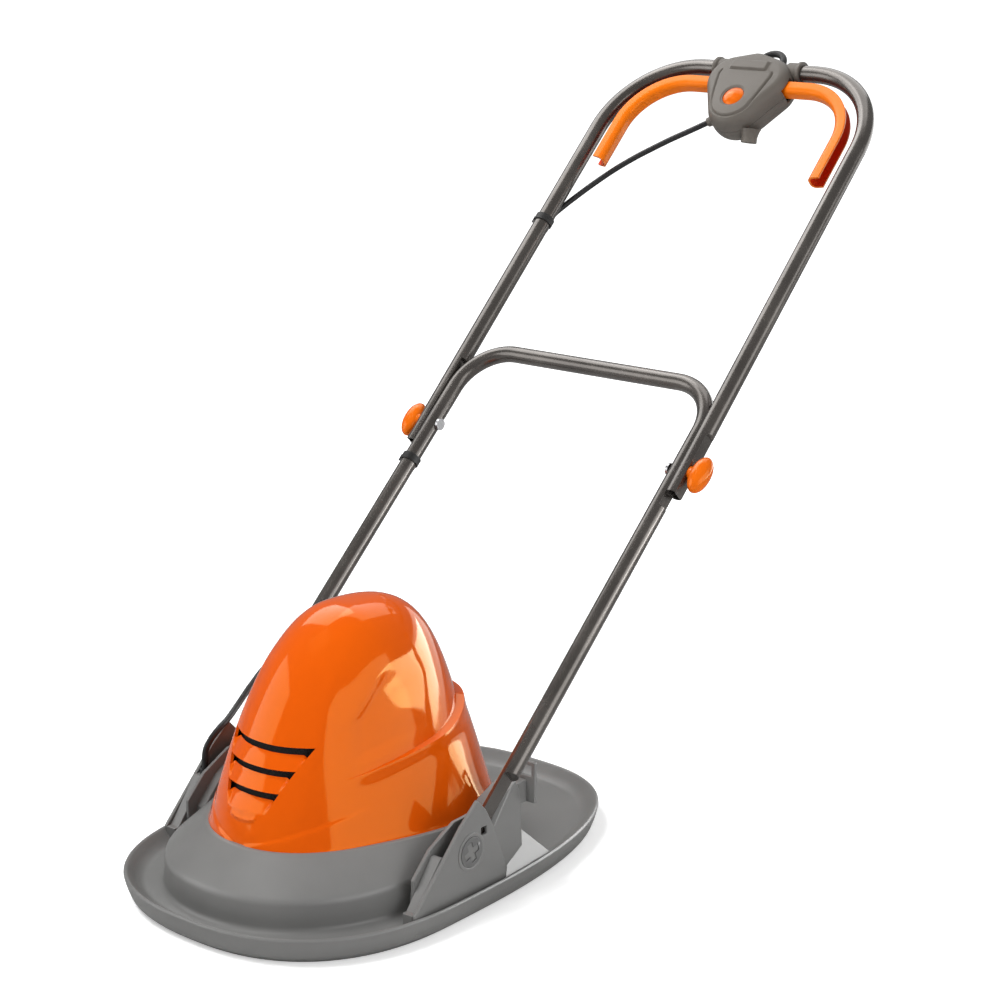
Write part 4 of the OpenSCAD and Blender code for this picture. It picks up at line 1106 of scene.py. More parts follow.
    def relief(self, turn: np.ndarray, h: np.ndarray, z: np.ndarray, swoosh: np.ndarray) -> np.ndarray:
        """Moulded relief over the dome: louvres, crease, scoop, corners, the swoosh's lip and the smile.

        A plain number that divides is the width of a soft edge.

        Args:
            turn: Turns in degrees.
            h: Sizes of the turns less 90.
            z: Heights.
            swoosh: Height of the swoosh in each column.

        Returns:
            How far each point stands out.
        """
        x = self.point(turn, z, np.zeros_like(z))[..., 0]
        out = np.zeros_like(z)
        gap = self.slot_pitch - self.slot_h
        room = np.clip((self.slot_end(z) - np.abs(x)) / self.louvre_end, 0, 1) * (np.abs(turn) < 90)
        for k in range(self.slot_count):
            foot = self.slot_top - k * self.slot_pitch - self.slot_h
            slope = np.clip((z - foot + gap) / gap, 0, 1) * (z < foot + 0.02)
            out -= self.louvre * slope * room
        crease = self.crease_z + self.crease_slope * h
        out += self.crease_rise * ease((self.crease_start - h) / 20) * ease((crease - z) / 2.4)
        edge = self.scoop_start + 22 * np.clip((z - self.scoop_low) / 40, 0, 1)
        scoop = ease((h - edge) / 9) * ease((edge + self.scoop_width - h) / 30)
        out -= self.scoop_depth * scoop * ease((z - swoosh - 6) / 14) * ease((self.scoop_high - z) / 26)
        corner = bell((h + 51 + 11 * (220 - z) / 122) / self.corner_width)
        corner *= ease((z - self.corner_low) / 20) * ease((self.corner_high - z) / 30)
        out += self.corner_rise * corner
        under = np.where(z <= swoosh + 0.01, swoosh - z, 99.0)
        out += self.lip_rise * ease((h - self.lip_start) / 16) * bell(under / self.lip_width)
        smile = self.smile_z + self.smile_curve * (x / self.smile_half_w) ** 2
        ends = (np.abs(turn) < 60) * ease((self.smile_end - np.abs(x)) / 3)
        return out + self.smile_rise * bell((z - smile) / self.smile_width) * ends

    def build(self) -> None:
        """Make the hood and the filter behind its slots."""
        points, keep = self.skin()
        shape = Shape()
        skins = shape.shell(points, self.wall, keep, 1)
        tips = shape.add(np.array([(0.0, self.apex_y, z) for z in (self.top, self.top - self.wall)]))
        for skin, tip in zip(skins, tips):
            for a, b in zip(skin[-1], np.roll(skin[-1], -1)):
                shape.faces.append((a, b, tip))
        piece = shape.make("motor_hood", self.layout.deck, self.finish.hood, 40.0)
        settle(piece, Part.DECK, Slot.HOOD, "hood")
        self.filter()

    def filter(self) -> None:
        """Make the woven filter as a thin curved sheet."""
        across = np.linspace(-self.filter_turn, self.filter_turn, self.filter_grid[0])
        turn, z = np.meshgrid(across, np.linspace(*self.filter_z, self.filter_grid[1]))
        shape = Shape()
        front, back = (shape.add(self.point(turn, z, np.full_like(z, -d))) for d in self.filter_depths)
        shape.quads(front, False)
        shape.quads(back, False)
        rim = [*front[0, :], *front[1:, -1], *front[-1, -2::-1], *front[-2:0:-1, 0]]
        jump = back[0, 0] - front[0, 0]
        shape.quads(np.array([rim, np.add(rim, jump)]), True)
        piece = shape.make("air_filter", self.layout.deck, self.finish.weave)
        settle(piece, Part.DECK, Slot.BLACK, "vent_mesh")


@dataclass(frozen=True)
class Oval:
    """A rounded outline with its own front and rear reach from the motor axis."""

    half_w: float
    front: float
    rear: float
    mid: float
    powers: Point

    def ring(self, t: np.ndarray, grow: float, z: float) -> np.ndarray:
        """A level ring.

        Args:
            t: Angles in radians.
            grow: How far the outline grows.
            z: Height.

        Returns:
            Points of the ring.
        """
        ahead = np.sin(t) < 0
        power = np.where(ahead, 2 / self.powers[0], 2 / self.powers[1])
        reach = np.where(ahead, self.front + self.mid, self.rear - self.mid) + grow
        x = (self.half_w + grow) * signed_power(np.cos(t), power)
        y = self.mid + reach * signed_power(np.sin(t), power)
        return np.stack([x, y, np.full_like(x, z)], axis=1)


@dataclass
class DeckPan(Assembly):
    """The moulded pan: ledge under the hood, sloping top, drum, channel and rolled lip."""

    columns: int = 256
    ledge: float = 77.0
    crease: float = 47.0
    moat: float = 14.0
    drum_foot: float = 18.0
    lip_z: float = 28.0
    wall: float = 3.5
    intake: float = 62.0
    corner_steps: int = 5
    corner_most: float = 0.42
    LIP = Oval(177.0, 170.0, 351.0, 20.0, (2.4, 2.8))
    DRUM = Oval(140.0, 140.0, 215.0, 30.0, (2.2, 2.4))

    def hood_ring(self, t: np.ndarray, grow: float, z: float) -> np.ndarray:
        """A ring round the foot of the hood.

        Args:
            t: Angles in radians.
            grow: Distance from the hood.
            z: Height.

        Returns:
            Points of the ring.
        """
        hood = MotorHood(self.layout, self.finish)
        turn = (np.degrees(t) + 90 + 180) % 360 - 180
        flare = hood.flare(np.abs(turn) - 90, np.zeros_like(t))
        ring = hood.point(turn, np.full_like(t, hood.ledge), flare + grow)
        ring[:, 2] = z
        return ring

    def rings(self) -> list[tuple[np.ndarray, float]]:
        """Rings of the profile.

        Returns:
            Rings, each with the radius its corner is rounded by.
        """
        t = circle(self.columns)
        under = self.ledge - self.wall
        hole = ((self.intake, self.ledge), (self.intake, under))
        shelf = hoops(hole, self.columns, (0, 0, 1), across=(1, 0, 0), up=(0, 1, 0))
        lip, drum, hood = self.LIP.ring, self.DRUM.ring, self.hood_ring
        # Outline, growth, height and corner radius of each ring, from the top to the underside
        rows = (
            (hood, 4.0, self.ledge, 2.5),
            (drum, 0.0, self.crease, 5.0),
            (drum, 2.0, self.drum_foot, 5.0),
            (lip, -19.0, self.moat, 5.0),
            (lip, -11.5, 18.67, 5.0),
            (lip, -4.0, self.lip_z - 1, 1.2),
            (lip, -2.0, self.lip_z, 0.9),
            (lip, 0.0, self.lip_z - 2, 1.2),
            (lip, -2.0, 17.0, 4.0),
            (lip, -6.0, 6.0, 3.5),
            (lip, -13.0, 0.0, 2.5),
            (lip, -21.0, 0.0, 2.0),
            (lip, -22.5, self.moat - self.wall, 2.0),
            (drum, -1.5, self.drum_foot - self.wall, 3.0),
            (drum, -3.5, self.crease - self.wall / 2, 4.0),
            (hood, 0.0, under, 2.0),
        )
        made = [(outline(t, grow, z), radius) for outline, grow, z, radius in rows]
        return [(shelf[0], 0.0), *made, (shelf[1], 0.0)]

    def build(self) -> None:
        """Make the pan."""
        rings = self.rings()
        rounded: list[np.ndarray] = []
        for k, (ring, radius) in enumerate(rings):
            if not radius:
                rounded.append(ring)
                continue
            ends = []
            for other in (rings[k - 1][0], rings[k + 1][0]):
                size = np.linalg.norm(other - ring, axis=1)[:, None]
                ends.append(ring + (other - ring) * np.minimum(radius / size, self.corner_most))
            for s in np.linspace(0, 1, self.corner_steps):
                rounded.append((1 - s) ** 2 * ends[0] + 2 * s * (1 - s) * ring + s * s * ends[1])
        shape = Shape()
        shape.wrap(np.array(rounded))
        settle(shape.make("deck_pan", self.layout.deck, self.finish.deck, 50.0), Part.DECK, Slot.DECK, "deck")


@dataclass
class HandleFork(Sided):
    """One fork beside the drum: two plates, a nose, a bevelled tail that turns in, a ramp and a lead loop."""

    pivot: Point = (44.0, 68.0)
    length: float = 176.0
    height: float = 87.0
    lead: float = 80.0
    low: float = 30.0
    foot: float = 10.65
    plate: Point = (165.2, 169.2)
    cheek: Point = (149.5, 153.5)
    drum_x: float = 140.0
    tail_x: float = 136.5
    tail_inset: float = 0.2
    lap: float = 0.15
    turn_y: float = 77.6
    crease: Point = (78.4, 82.2)
    crease_tilt: float = math.radians(24.5)
    loop_y: Point = (146.56, 150.56)
    arm_x: Point = (140.5, 152.5)
    OUTER = ((0, 0), (0.37, 0.77), (0.51, 1), (0.58, 0.85), (0.65, 0.6), (0.74, 0.15), (0.75, 0))
    INNER = (
        (0.09, 0), (0.09, 0.3), (0.22, 0.56), (0.42, 0.76), (0.66, 0.78), (0.86, 0.9), (0.93, 0.78),
        (0.97, 0.47), (1, 0),
    )
    FILL = ((0.14, 0), (0.16, 0.2), (0.3, 0.5), (0.4, 0.62), (0.66, 0.66), (0.86, 0.8), (0.97, 0.47), (1, 0))
    NOSE = ((0, 0), (0.03, 0), (0.225, 0.5), (0.33, 0.5), (0.35, 0.2), (0.35, 0))
    OPEN_NOSE = ((0, 0), (0.03, 0), (0.225, 0.5), (0.25, 0.5), (0.26, 0))
    TAIL = (
        (0.5, 0), (0.5, 0.2), (0.657, 0.672), (0.7245, 0.798), (0.91, 0.95), (0.96, 0.8), (0.98, 0.47),
        (1, 0),
    )
    RAMP = ((169.2, 94.24, 24.0), (163.2, 171.68, 24.0), (136.5, 140.0, 61.32))
    BOSS = ((18.99, 167.2), (19.0, 169.7), (18.4, 170.0), (16.0, 170.0), (15.3, 169.6), (15.2, 167.2))
    WINDOW = rectangle(15.0, 11.5, 23.0, 19.5)
    LOOP = (rectangle(140.5, 82.2, 162.5, 124.2), rectangle(144.5, 109.2, 158.5, 120.2))
    ARM = rectangle(122.56, 82.2, 146.6, 105.2)

    def outline(self, shares: Sequence[Point]) -> list[Point]:
        """An outline that is closed at the foot.

        Args:
            shares: Points in shares of the length and of the height.

        Returns:
            Points of y and z.
        """
        y0 = self.pivot[0] - self.lead
        spots = [(y0 + a * self.length, self.low + b * self.height) for a, b in shares]
        return spots + [(spots[-1][0], self.foot), (spots[0][0], self.foot)]

    def build(self) -> None:
        """Make the fork."""
        y, z = self.pivot
        window = [(y + a, z + b) for a, b in self.WINDOW]
        nose = self.OPEN_NOSE if self.side is Side.RIGHT else self.NOSE
        slabs = (
            ("outer", [self.outline(self.OUTER), window], self.plate, 1.2),
            ("inner", [self.outline(self.INNER)], self.cheek, 1.0),
            ("fill", [self.outline(self.FILL)], (self.drum_x, self.cheek[1] - self.lap), 1.0),
            ("nose", [self.outline(nose)], (self.cheek[1] - self.lap, self.plate[0] + self.lap), 0.8),
        )
        for name, loops, (x0, x1), edge in slabs:
            slab = Shape()
            slab.prism(loops, x0, x1, self.side)
            self.keep(slab, name, edge)
        self.tail()
        self.loop()
        boss = Shape()
        boss.wrap(hoops(self.BOSS, 72, (self.side.value, 0, 0), (0, y, z)))
        self.keep(boss, "boss", 0.0)

    def tail(self) -> None:
        """Make the tail, shaved where it turns in and over its crease, and the ramp behind it."""
        sign, out = self.side.value, self.plate[1] - self.tail_inset
        tail = Shape()
        tail.prism([self.outline(self.TAIL)], self.tail_x, out, self.side)
        piece = self.keep(tail, "tail", 1.2)
        rear = self.pivot[0] + self.length - self.lead
        turn = (sign * (rear - self.turn_y), self.plate[1] - self.cheek[1], 0.0)
        lean = (sign, -math.sin(self.crease_tilt), math.cos(self.crease_tilt))
        for (y, z), normal in (((self.turn_y, self.low), turn), (self.crease, lean)):
            shave(piece, self.layout.deck.place([(sign * out, y, z)])[0], normal)
        ramp = Shape()
        top = np.array(self.RAMP) * (sign, 1, 1)
        foot = top.copy()
        foot[:, 2] = self.foot
        ramp.loft(np.array([foot, top]))
        self.keep(ramp, "ramp", 1.0)

    def loop(self) -> None:
        """Make the lead loop: a frame of x and z with a window, on an arm from the tail."""
        loop = Shape()
        loop.prism(self.LOOP, *self.loop_y)
        loop.points = [(self.side.value * x, y, z) for y, x, z in loop.points]
        self.keep(loop, "loop", 0.8)
        arm = Shape()
        arm.prism([self.ARM], *self.arm_x, self.side)
        self.keep(arm, "arm", 0.8)

    def keep(self, shape: Shape, name: str, edge: float) -> bpy.types.Object:
        """Round a part of the fork and tie it to the deck.

        Args:
            shape: The part.
            name: Its word in the piece's name.
            edge: Width its edges are rounded by.

        Returns:
            The piece.
        """
        piece = shape.make(f"fork_{name}_{self.side.word}", self.layout.deck, self.finish.deck)
        if edge:
            bevel(piece, edge)
        settle(piece, Part.DECK, Slot.DECK, "deck")
        return piece


@dataclass
class PivotPlug(Sided):
    """A plug that closes a fork: a disc with a shallow cross for a key, on a plain shank."""

    pivot: Point = (44.0, 68.0)
    radius: float = 15.0
    shank: float = 6.0
    root: float = 142.0
    seat: float = 167.2
    rim: float = 169.7
    face: float = 170.2
    floor: float = 168.4
    cross: Point = (10.0, 3.5)
    turn: float = math.radians(20.0)

    def key(self) -> list[Point]:
        """Outline of the cross.

        Returns:
            Points of y and z about the pivot.
        """
        long, wide = self.cross
        spots: list[Point] = []
        for k in range(4):
            c, s = math.cos(self.turn + k * math.pi / 2), math.sin(self.turn + k * math.pi / 2)
            arm = ((long, -wide), (long, wide), (wide, wide))
            spots += [(a * c - b * s, a * s + b * c) for a, b in arm]
        return spots

    def build(self) -> None:
        """Make the plug."""
        r = self.radius
        profile = (
            (self.shank, self.root), (self.shank, self.seat), (r, self.seat), (r, self.rim),
            (r * 0.985, self.face - 0.1), (r * 0.94, self.face),
        )
        cross = self.key()
        shape = Shape()
        rings = hoops(profile, 72, (self.side.value, 0, 0))
        index = shape.add(rings)
        shape.quads(index, True)
        shape.faces.append(tuple(index[0]))
        mouth, floor = (
            shape.add(np.array([(self.side.value * x, a, b) for a, b in cross]))
            for x in (self.face, self.floor)
        )
        face = [*index[-1], *mouth]
        flat = [[Vector((a, b, 0.0)) for a, b in loop] for loop in (rings[-1][:, 1:], cross)]
        for triangle in geometry.tessellate_polygon(flat):
            shape.faces.append(tuple(face[i] for i in triangle))
        shape.faces.append(tuple(floor))
        shape.quads(np.array([mouth, floor]), True)
        shape.points = [(x, a + self.pivot[0], b + self.pivot[1]) for x, a, b in shape.points]
        piece = bevel(shape.make(f"pivot_plug_{self.side.word}", self.layout.deck, self.finish.plug), 0.5)
        settle(piece, Part.DECK, Slot.BOX, "pivot_pins")


@dataclass
class SwitchBox(Assembly):
    """The two covers on the top bar, with groove, ridge, collars, hook, lead exit and mains inlet.

    Its points are x, s along the handle and n out of the handle's face.
    """

    bar_s: float = 526.0
    front_h: float = 20.0
    rear_h: float = 22.0
    wall: float = 2.5
    button: Point = (0.0, 471.0)
    hole_r: float = 12.7
    hole_depth: float = 4.0
    seam: float = 0.2
    straight: float = 3.2
    round_in: float = 11.0
    bulge: float = 0.8
    columns: int = 220
    panel_rise: float = 0.6
    panel_end: float = 509.0
    groove_depth: float = 1.7
    groove_width: float = 1.3
    ridge_rise: float = 2.8
    ridge_s: float = 516.5
    ridge_half: Point = (25.0, 7.0)
    dish_depth: float = 0.9
    dish_r: float = 15.5
    window_x: float = 40.0
    window_s: Point = (490.5, 512.0)
    window_n: float = 10.2
    hook_r: float = 16.0
    hook_s: Point = (524.0, 545.0)
    hook_n: float = -10.0
    hook_wire: float = 4.0
    exit_root: Point = (-24.0, 463.0, -8.0)
    exit_way: Point = (-0.8, -0.6, 0.0)
    inlet_mouth: Point = (24.0, 434.2, -15.0)
    inlet_lean: float = math.radians(55.0)
    LOBES = ((0.0, 468.0, 33.5), (20.14, 503.0, 32.86), (-20.14, 503.0, 32.86), (0.0, 519.74, 22.26))
    PANEL = ((0.0, 469.0, 26.0), (20.14, 503.0, 14.3), (-20.14, 503.0, 14.3))
    COLLAR = (
        (9.6, 40.0), (11.6, 40.0), (11.6, 52.0), (12.8, 53.0), (13.4, 54.0), (13.4, 57.0), (12.6, 58.0),
        (9.6, 58.0),
    )
    EXIT = ((6.2, 0.0), (5.9, 8.0), (5.6, 13.0), (5.3, 16.5), (4.4, 17.8))
    INLET = (
        (4.5, 16.0), (4.5, 0.6), (5.1, 0.0), (8.2, 0.0), (9.0, 0.9), (9.0, 7.0), (10.5, 13.0), (12.0, 16.0),
    )

    def outline(self, inset: float) -> np.ndarray:
        """Outline of the lobes' hull, even by angle about the button.

        Args:
            inset: How far the lobes shrink.

        Returns:
            Points of x and s.
        """
        turns = circle(1440)
        aim = np.stack([np.cos(turns), np.sin(turns)], axis=1)
        lobes = np.array(self.LOBES)
        reach = aim @ lobes[:, :2].T + (lobes[:, 2] - inset)
        best = reach.argmax(axis=1)
        hull = lobes[best, :2] + aim * (lobes[best, 2] - inset)[:, None]
        angle = np.unwrap(np.arctan2(hull[:, 1] - self.button[1], hull[:, 0]))
        even = angle[0] + circle(self.columns)
        angle = np.append(angle, angle[0] + 2 * math.pi)
        hull = np.vstack([hull, hull[:1]])
        return np.stack([np.interp(even, angle, hull[:, k]) for k in (0, 1)], axis=1)

    def panel_gap(self, x: np.ndarray, s: np.ndarray) -> np.ndarray:
        """Measure from the edge of the raised panel.

        Args:
            x: Places across.
            s: Places along the handle.

        Returns:
            Distances, negative inside the panel.
        """
        lobes = np.array(self.PANEL)
        gap = np.full_like(x, -1e9)
        for k in circle(120):
            hold = (lobes[:, 0] * math.cos(k) + lobes[:, 1] * math.sin(k) + lobes[:, 2]).max()
            gap = np.maximum(gap, x * math.cos(k) + s * math.sin(k) - hold)
        return gap

    def relief(self, flat: np.ndarray, way: int) -> np.ndarray:
        """Relief of a cover's face. The rear one is plain.

        Args:
            flat: Points of x and s.
            way: 1 for the front and -1 for the rear.

        Returns:
            Heights over the plain level.
        """
        if way < 0:
            return np.zeros(len(flat))
        x, s = flat.T
        gap = self.panel_gap(x, s)
        groove = self.groove_depth * bell(gap / self.groove_width)
        panel = (self.panel_rise * ease(-gap / 1.2) - groove) * (s < self.panel_end)
        half_x, half_s = self.ridge_half
        ridge = ease((half_s - np.abs(s - self.ridge_s)) / 1.8) * ease((half_x - np.abs(x)) / 2.5)
        middle = np.hypot(x - self.button[0], s - self.button[1])
        return panel + self.ridge_rise * ridge - self.dish_depth * ease((self.dish_r - middle) / 1.5)

    def shell(self, depth: float, way: int) -> tuple[np.ndarray, np.ndarray]:
        """Grid of one cover.

        Args:
            depth: Depth of the cover.
            way: 1 for the front and -1 for the rear.

        Returns:
            Points by row and column, and the mask of the quads that are kept.
        """
        rows = [(self.outline(0.0), n) for n in np.linspace(self.seam, self.straight, 4)]
        for q in np.linspace(0, math.pi / 2, 30)[1:]:
            flat = self.outline(self.round_in * (1 - math.cos(q)))
            rise = depth - self.straight + self.relief(flat, way)
            rows.append((flat, self.straight + rise * math.sin(q)))
        rim = rows[-1][0]
        angle = np.arctan2(rim[:, 1] - self.button[1], rim[:, 0])
        hole = np.stack([np.cos(angle), np.sin(angle)], axis=1) * self.hole_r + self.button
        for f in np.linspace(0, 1, 56)[1:]:
            flat = rim * (1 - f) + hole * f
            bulge = self.bulge * math.sin(f * math.pi / 2) * (f < 1)
            rows.append((flat, depth + bulge + self.relief(flat, way)))
        if way > 0:
            rows.append((hole, depth - self.hole_depth))
        points = np.array([np.column_stack([flat, np.broadcast_to(n, len(flat))]) for flat, n in rows])
        points[..., 2] *= way
        middle = (points[:-1] + points[1:]) / 2
        x, s, n = np.moveaxis((middle + np.roll(middle, -1, axis=1)) / 2, -1, 0)
        low, high = self.window_s
        return points, ~((np.abs(x) > self.window_x) & (s > low) & (s < high) & (np.abs(n) < self.window_n))

    def collars(self) -> Shape:
        """Shape the collars round the top bar.

        Returns:
            The shape.
        """
        shape = Shape()
        for side in (Side.LEFT, Side.RIGHT):
            shape.wrap(hoops(self.COLLAR, 48, (side.value, 0, 0), (0, self.bar_s, 0)))
        return shape

    def hook(self) -> Shape:
        """Shape the hook over the top bar.

        Returns:
            The shape.
        """
        shape = Shape()
        low, high = self.hook_s
        r, n = self.hook_r, self.hook_n
        flat = [(r, low), *arc((0.0, high), r, 0, 180, 25), (-r, low)]
        shape.tube(np.array([(x, s, n) for x, s in flat]), self.hook_wire)
        return shape

    def exit(self) -> Shape:
        """Shape the sleeve where the motor lead leaves the box.

        Returns:
            The shape.
        """
        shape = Shape()
        path = [np.add(self.exit_root, np.multiply(self.exit_way, d)) for _, d in self.EXIT]
        shape.tube(np.array(path), [r for r, _ in self.EXIT])
        return shape

    def inlet(self) -> Shape:
        """Shape the bored stub for a mains lead.

        Returns:
            The shape.
        """
        shape = Shape()
        lean = (0.0, math.sin(self.inlet_lean), math.cos(self.inlet_lean))
        across = (1.0, 0.0, 0.0)
        shape.wrap(hoops(self.INLET, 48, lean, self.inlet_mouth, across, np.cross(across, lean)))
        return shape

    def build(self) -> None:
        """Make both covers and what is moulded on them."""
        for depth, way, name in ((self.front_h, 1, "front"), (self.rear_h, -1, "rear")):
            points, keep = self.shell(depth, way)
            shape = Shape()
            outer, inner = shape.shell(points, self.wall, keep, way)
            if way > 0:
                shape.quads(np.array([outer[-1], inner[-1]]), True)
            else:
                shape.faces.extend(tuple(ring[-1]) for ring in (outer, inner))
            piece = shape.make(f"box_cover_{name}", self.layout.upper, self.finish.box, 38.0)
            settle(piece, Part.UPPER, Slot.BOX, f"switch_cover_{name}")
        trim = (
            ("box_collars", self.collars(), self.finish.box),
            # The hook is drawn in the black moulding, darker than the taupe covers it is moulded with
            ("lead_hook", self.hook(), self.finish.black),
            ("lead_exit", self.exit(), self.finish.box),
            ("mains_inlet", self.inlet(), self.finish.box),
        )
        for name, shape, material in trim:
            settle(shape.make(name, self.layout.upper, material), Part.UPPER, Slot.BOX, "switch_cover_rear")


@dataclass
class ButtonSpring(Assembly):
    """The coil under the lock button, which shortens as the button goes in; here it is made at one length."""

    place: Point = (0.0, 471.0)
    radius: float = 7.0
    wire: float = 0.6
    low: float = 1.2
    high: float = 12.15
    turns: int = 4

    def build(self) -> None:
        """Make the coil."""
        x, s = self.place
        share = np.linspace(0, 1, self.turns * 24 + 1)
        angle = 2 * math.pi * self.turns * share
        rise = self.low + (self.high - self.low) * share
        path = np.stack([x + self.radius * np.cos(angle), s + self.radius * np.sin(angle), rise], axis=1)
        shape = Shape()
        shape.tube(path, self.wire, 10)
        piece = shape.make("button_coil", self.layout.upper, self.finish.steel)
        ends = self.layout.upper.place([(x, s, self.low), (x, s, self.high)])
        settle(piece, Part.UPPER, Slot.STEEL, "button_spring", Part.BUTTON)


@dataclass
class StartLever(Sided):
    """A squeeze lever: a rounded channel, open towards the tube, bent round the handle's corner."""

    pivot: Point = (38.0, 500.0)
    centre: Point = (78.0, 433.0)
    root: float = 4.0
    bend: float = 67.0
    grip: float = 57.0
    width: float = 14.0
    height: float = 18.0
    wall: float = 2.4
    corner: float = 6.8
    edge: float = 0.7
    slant: float = 2.6
    hub_r: float = 8.0
    hub_half: float = 8.9
    INSIDE = 12

    def section(self) -> np.ndarray:
        """The channel's outline.

        Returns:
            Points of u towards the tube and n out of the handle's face, the inside last.
        """
        w, h, t, e, r = self.width / 2, self.height / 2, self.wall, self.edge, self.corner
        spots: list[Point] = [(w, h - e), (w - e, h)]
        spots += arc((r - w, h - r), r, 90, 180, 10)
        spots += arc((r - w, r - h), r, 180, 270, 10)
        spots += [(w - e, -h), (w, -h + e), (w, -h + t)]
        spots += arc((r - w, r - h), r - t, 270, 180, 5)
        spots += arc((r - w, h - r), r - t, 180, 90, 5)
        return np.array([*spots, (w, h - t)])

    def build(self) -> None:
        """Make the lever."""
        sign = self.side.value
        (px, ps), (cx, cs) = self.pivot, self.centre
        stops = [(x, ps, 0.0, 1.0) for x in np.linspace(px + self.root, cx, 8)[:-1]]
        for k in np.linspace(0, math.pi / 2, 40):
            ux, us = math.sin(k), math.cos(k)
            stops.append((cx + self.bend * ux, cs + self.bend * us, ux, us))
        stops += [(cx + self.bend, s, 1.0, 0.0) for s in np.linspace(cs, cs - self.grip, 14)[1:]]
        section = self.section()
        rings = []
        for k, (x, s, ux, us) in enumerate(stops):
            slant = self.slant * max(0.0, (k - len(stops) + 3) / 2)
            rings.append(
                [(sign * (x + u * ux), s + u * us + slant * (u / self.width + 0.5), n) for u, n in section]
            )
        shape = Shape()
        shape.loft(np.array(rings))
        hub = ((self.hub_r, -self.hub_half), (self.hub_r, self.hub_half))
        shape.loft(hoops(hub, 40, (0, 0, 1), (sign * px, ps, 0), (sign, 0, 0), (0, 1, 0)))
        piece = shape.make(f"start_lever_{self.side.word}", self.layout.upper, self.finish.lever, 40.0)
        # The channel's inside faces take the painted-shade copy of the lever orange
        piece.data.materials.append(self.finish.inside)
        cols = len(section)
        for face in piece.data.polygons[: cols * (len(stops) - 1)]:
            face.material_index = int(cols - self.INSIDE <= face.index % cols < cols - 1)
        settle(piece, Part[f"LEVER_{self.side.name}"], Slot.ORANGE, f"lever_{self.side.word}")


@dataclass
class WingKnob(Sided):
    """A clamp knob: a round hub under a lens-shaped grip."""

    seat: float = 180.35
    hub_r: float = 7.5
    hub_len: float = 9.0
    bore: float = 3.1
    edge: float = 0.5
    middle: float = 192.4
    half_len: float = 21.0
    radius: float = 11.0
    powers: Point = (2.1, 0.52)
    sides: int = 56

    def build(self) -> None:
        """Make the knob."""
        sign = self.side.value
        lens = []
        for k in np.linspace(-math.pi / 2, math.pi / 2, 49)[1:-1]:
            share = (1 - abs(math.sin(k)) ** self.powers[0]) ** self.powers[1]
            lens.append((self.radius * share, self.half_len * math.sin(k)))
        r, end = self.hub_r, self.seat + self.hub_len
        hub = (
            (self.bore, self.seat), (r - self.edge, self.seat), (r, self.seat + self.edge), (r, end),
            (self.bore, end),
        )
        knob = Shape()
        knob.loft(hoops(lens, self.sides, (0, 1, 0), (sign * self.middle, 0, 0), (sign, 0, 0)))
        knob.wrap(hoops(hub, self.sides, (sign, 0, 0)))
        piece = knob.make(f"wing_knob_{self.side.word}", self.layout.upper, self.finish.knob, 45.0)
        settle(piece, Part[f"KNOB_{self.side.name}"], Slot.ORANGE, f"knob_{self.side.word}")


@dataclass
class MotorLead(Assembly):
    """The motor lead from the switch box along the left tubes to its gland, cut at the two joints."""

    radius: float = 3.25
    steps: int = 8
    elbow: int = 4
    UPPER = (
        (-38.4, 452.2, -8), (-56, 439, -8.5), (-75, 425, -9), (-93, 411, -10), (-111, 396, -11),
        (-130, 377, -12), (-148, 355, -13), (-162, 336, -14), (-173, 318, -14), (-178.5, 304, -13),
        (-179.5, 292, -12.5), (-179.5, 280, -12.5), (-178.8, 160, -12.5), (-178.2, 60, -13),
    )
    LOWER = (
        (-177, 30, -14), (-175, 0, -14.2), (-172, -25, -13.4), (-170, -42, -11.6), (-170, -58, -11.6),
        (-170, -100, -12), (-171, -160, -12), (-173.5, -220, -10), (-177.2, -270, -5.5), (-178, -305, 1),
    )
    LOOP = (
        (-175, 118, 156), (-171, 92, 143), (-166, 68, 130), (-160, 48, 122), (-157, 33, 117), (-156, 21, 110),
        (-157, 14, 101), (-158.5, 13, 92), (-159.35, 13.28, 85), (-159.35, 13.28, 78.65),
    )
    RUNS = (
        ("lead_upper", Part.UPPER, None),
        ("lead_elbow", Part.UPPER, Part.LOWER),
        ("lead_lower", Part.LOWER, None),
        ("lead_loop", Part.LOWER, Part.DECK),
    )

    def build(self) -> None:
        """Make the four runs of the lead."""
        frames = (self.layout.upper, self.layout.lower, self.layout.deck)
        routes = (self.UPPER, self.LOWER, self.LOOP)
        stops = np.vstack([frame.place(route) for frame, route in zip(frames, routes)])
        path = smooth_path(stops, self.steps)
        last_upper = len(self.UPPER) - 1
        cuts = (0, last_upper, last_upper + self.elbow, last_upper + len(self.LOWER), len(stops) - 1)
        for (name, part, far), first, last in zip(self.RUNS, cuts, cuts[1:]):
            line = path[first * self.steps : last * self.steps + 1]
            shape = Shape()
            shape.tube(line / MM, self.radius, 18)
            piece = shape.make(f"motor_{name}", self.layout.shared, self.finish.rubber, 60.0)
            settle(piece, part, Slot.LEAD, name, far)
            length = float(np.linalg.norm(np.diff(line, axis=0), axis=1).sum())
            2 * self.radius * MM
            LOG.info("%s is %.3f m long", piece.name, length)


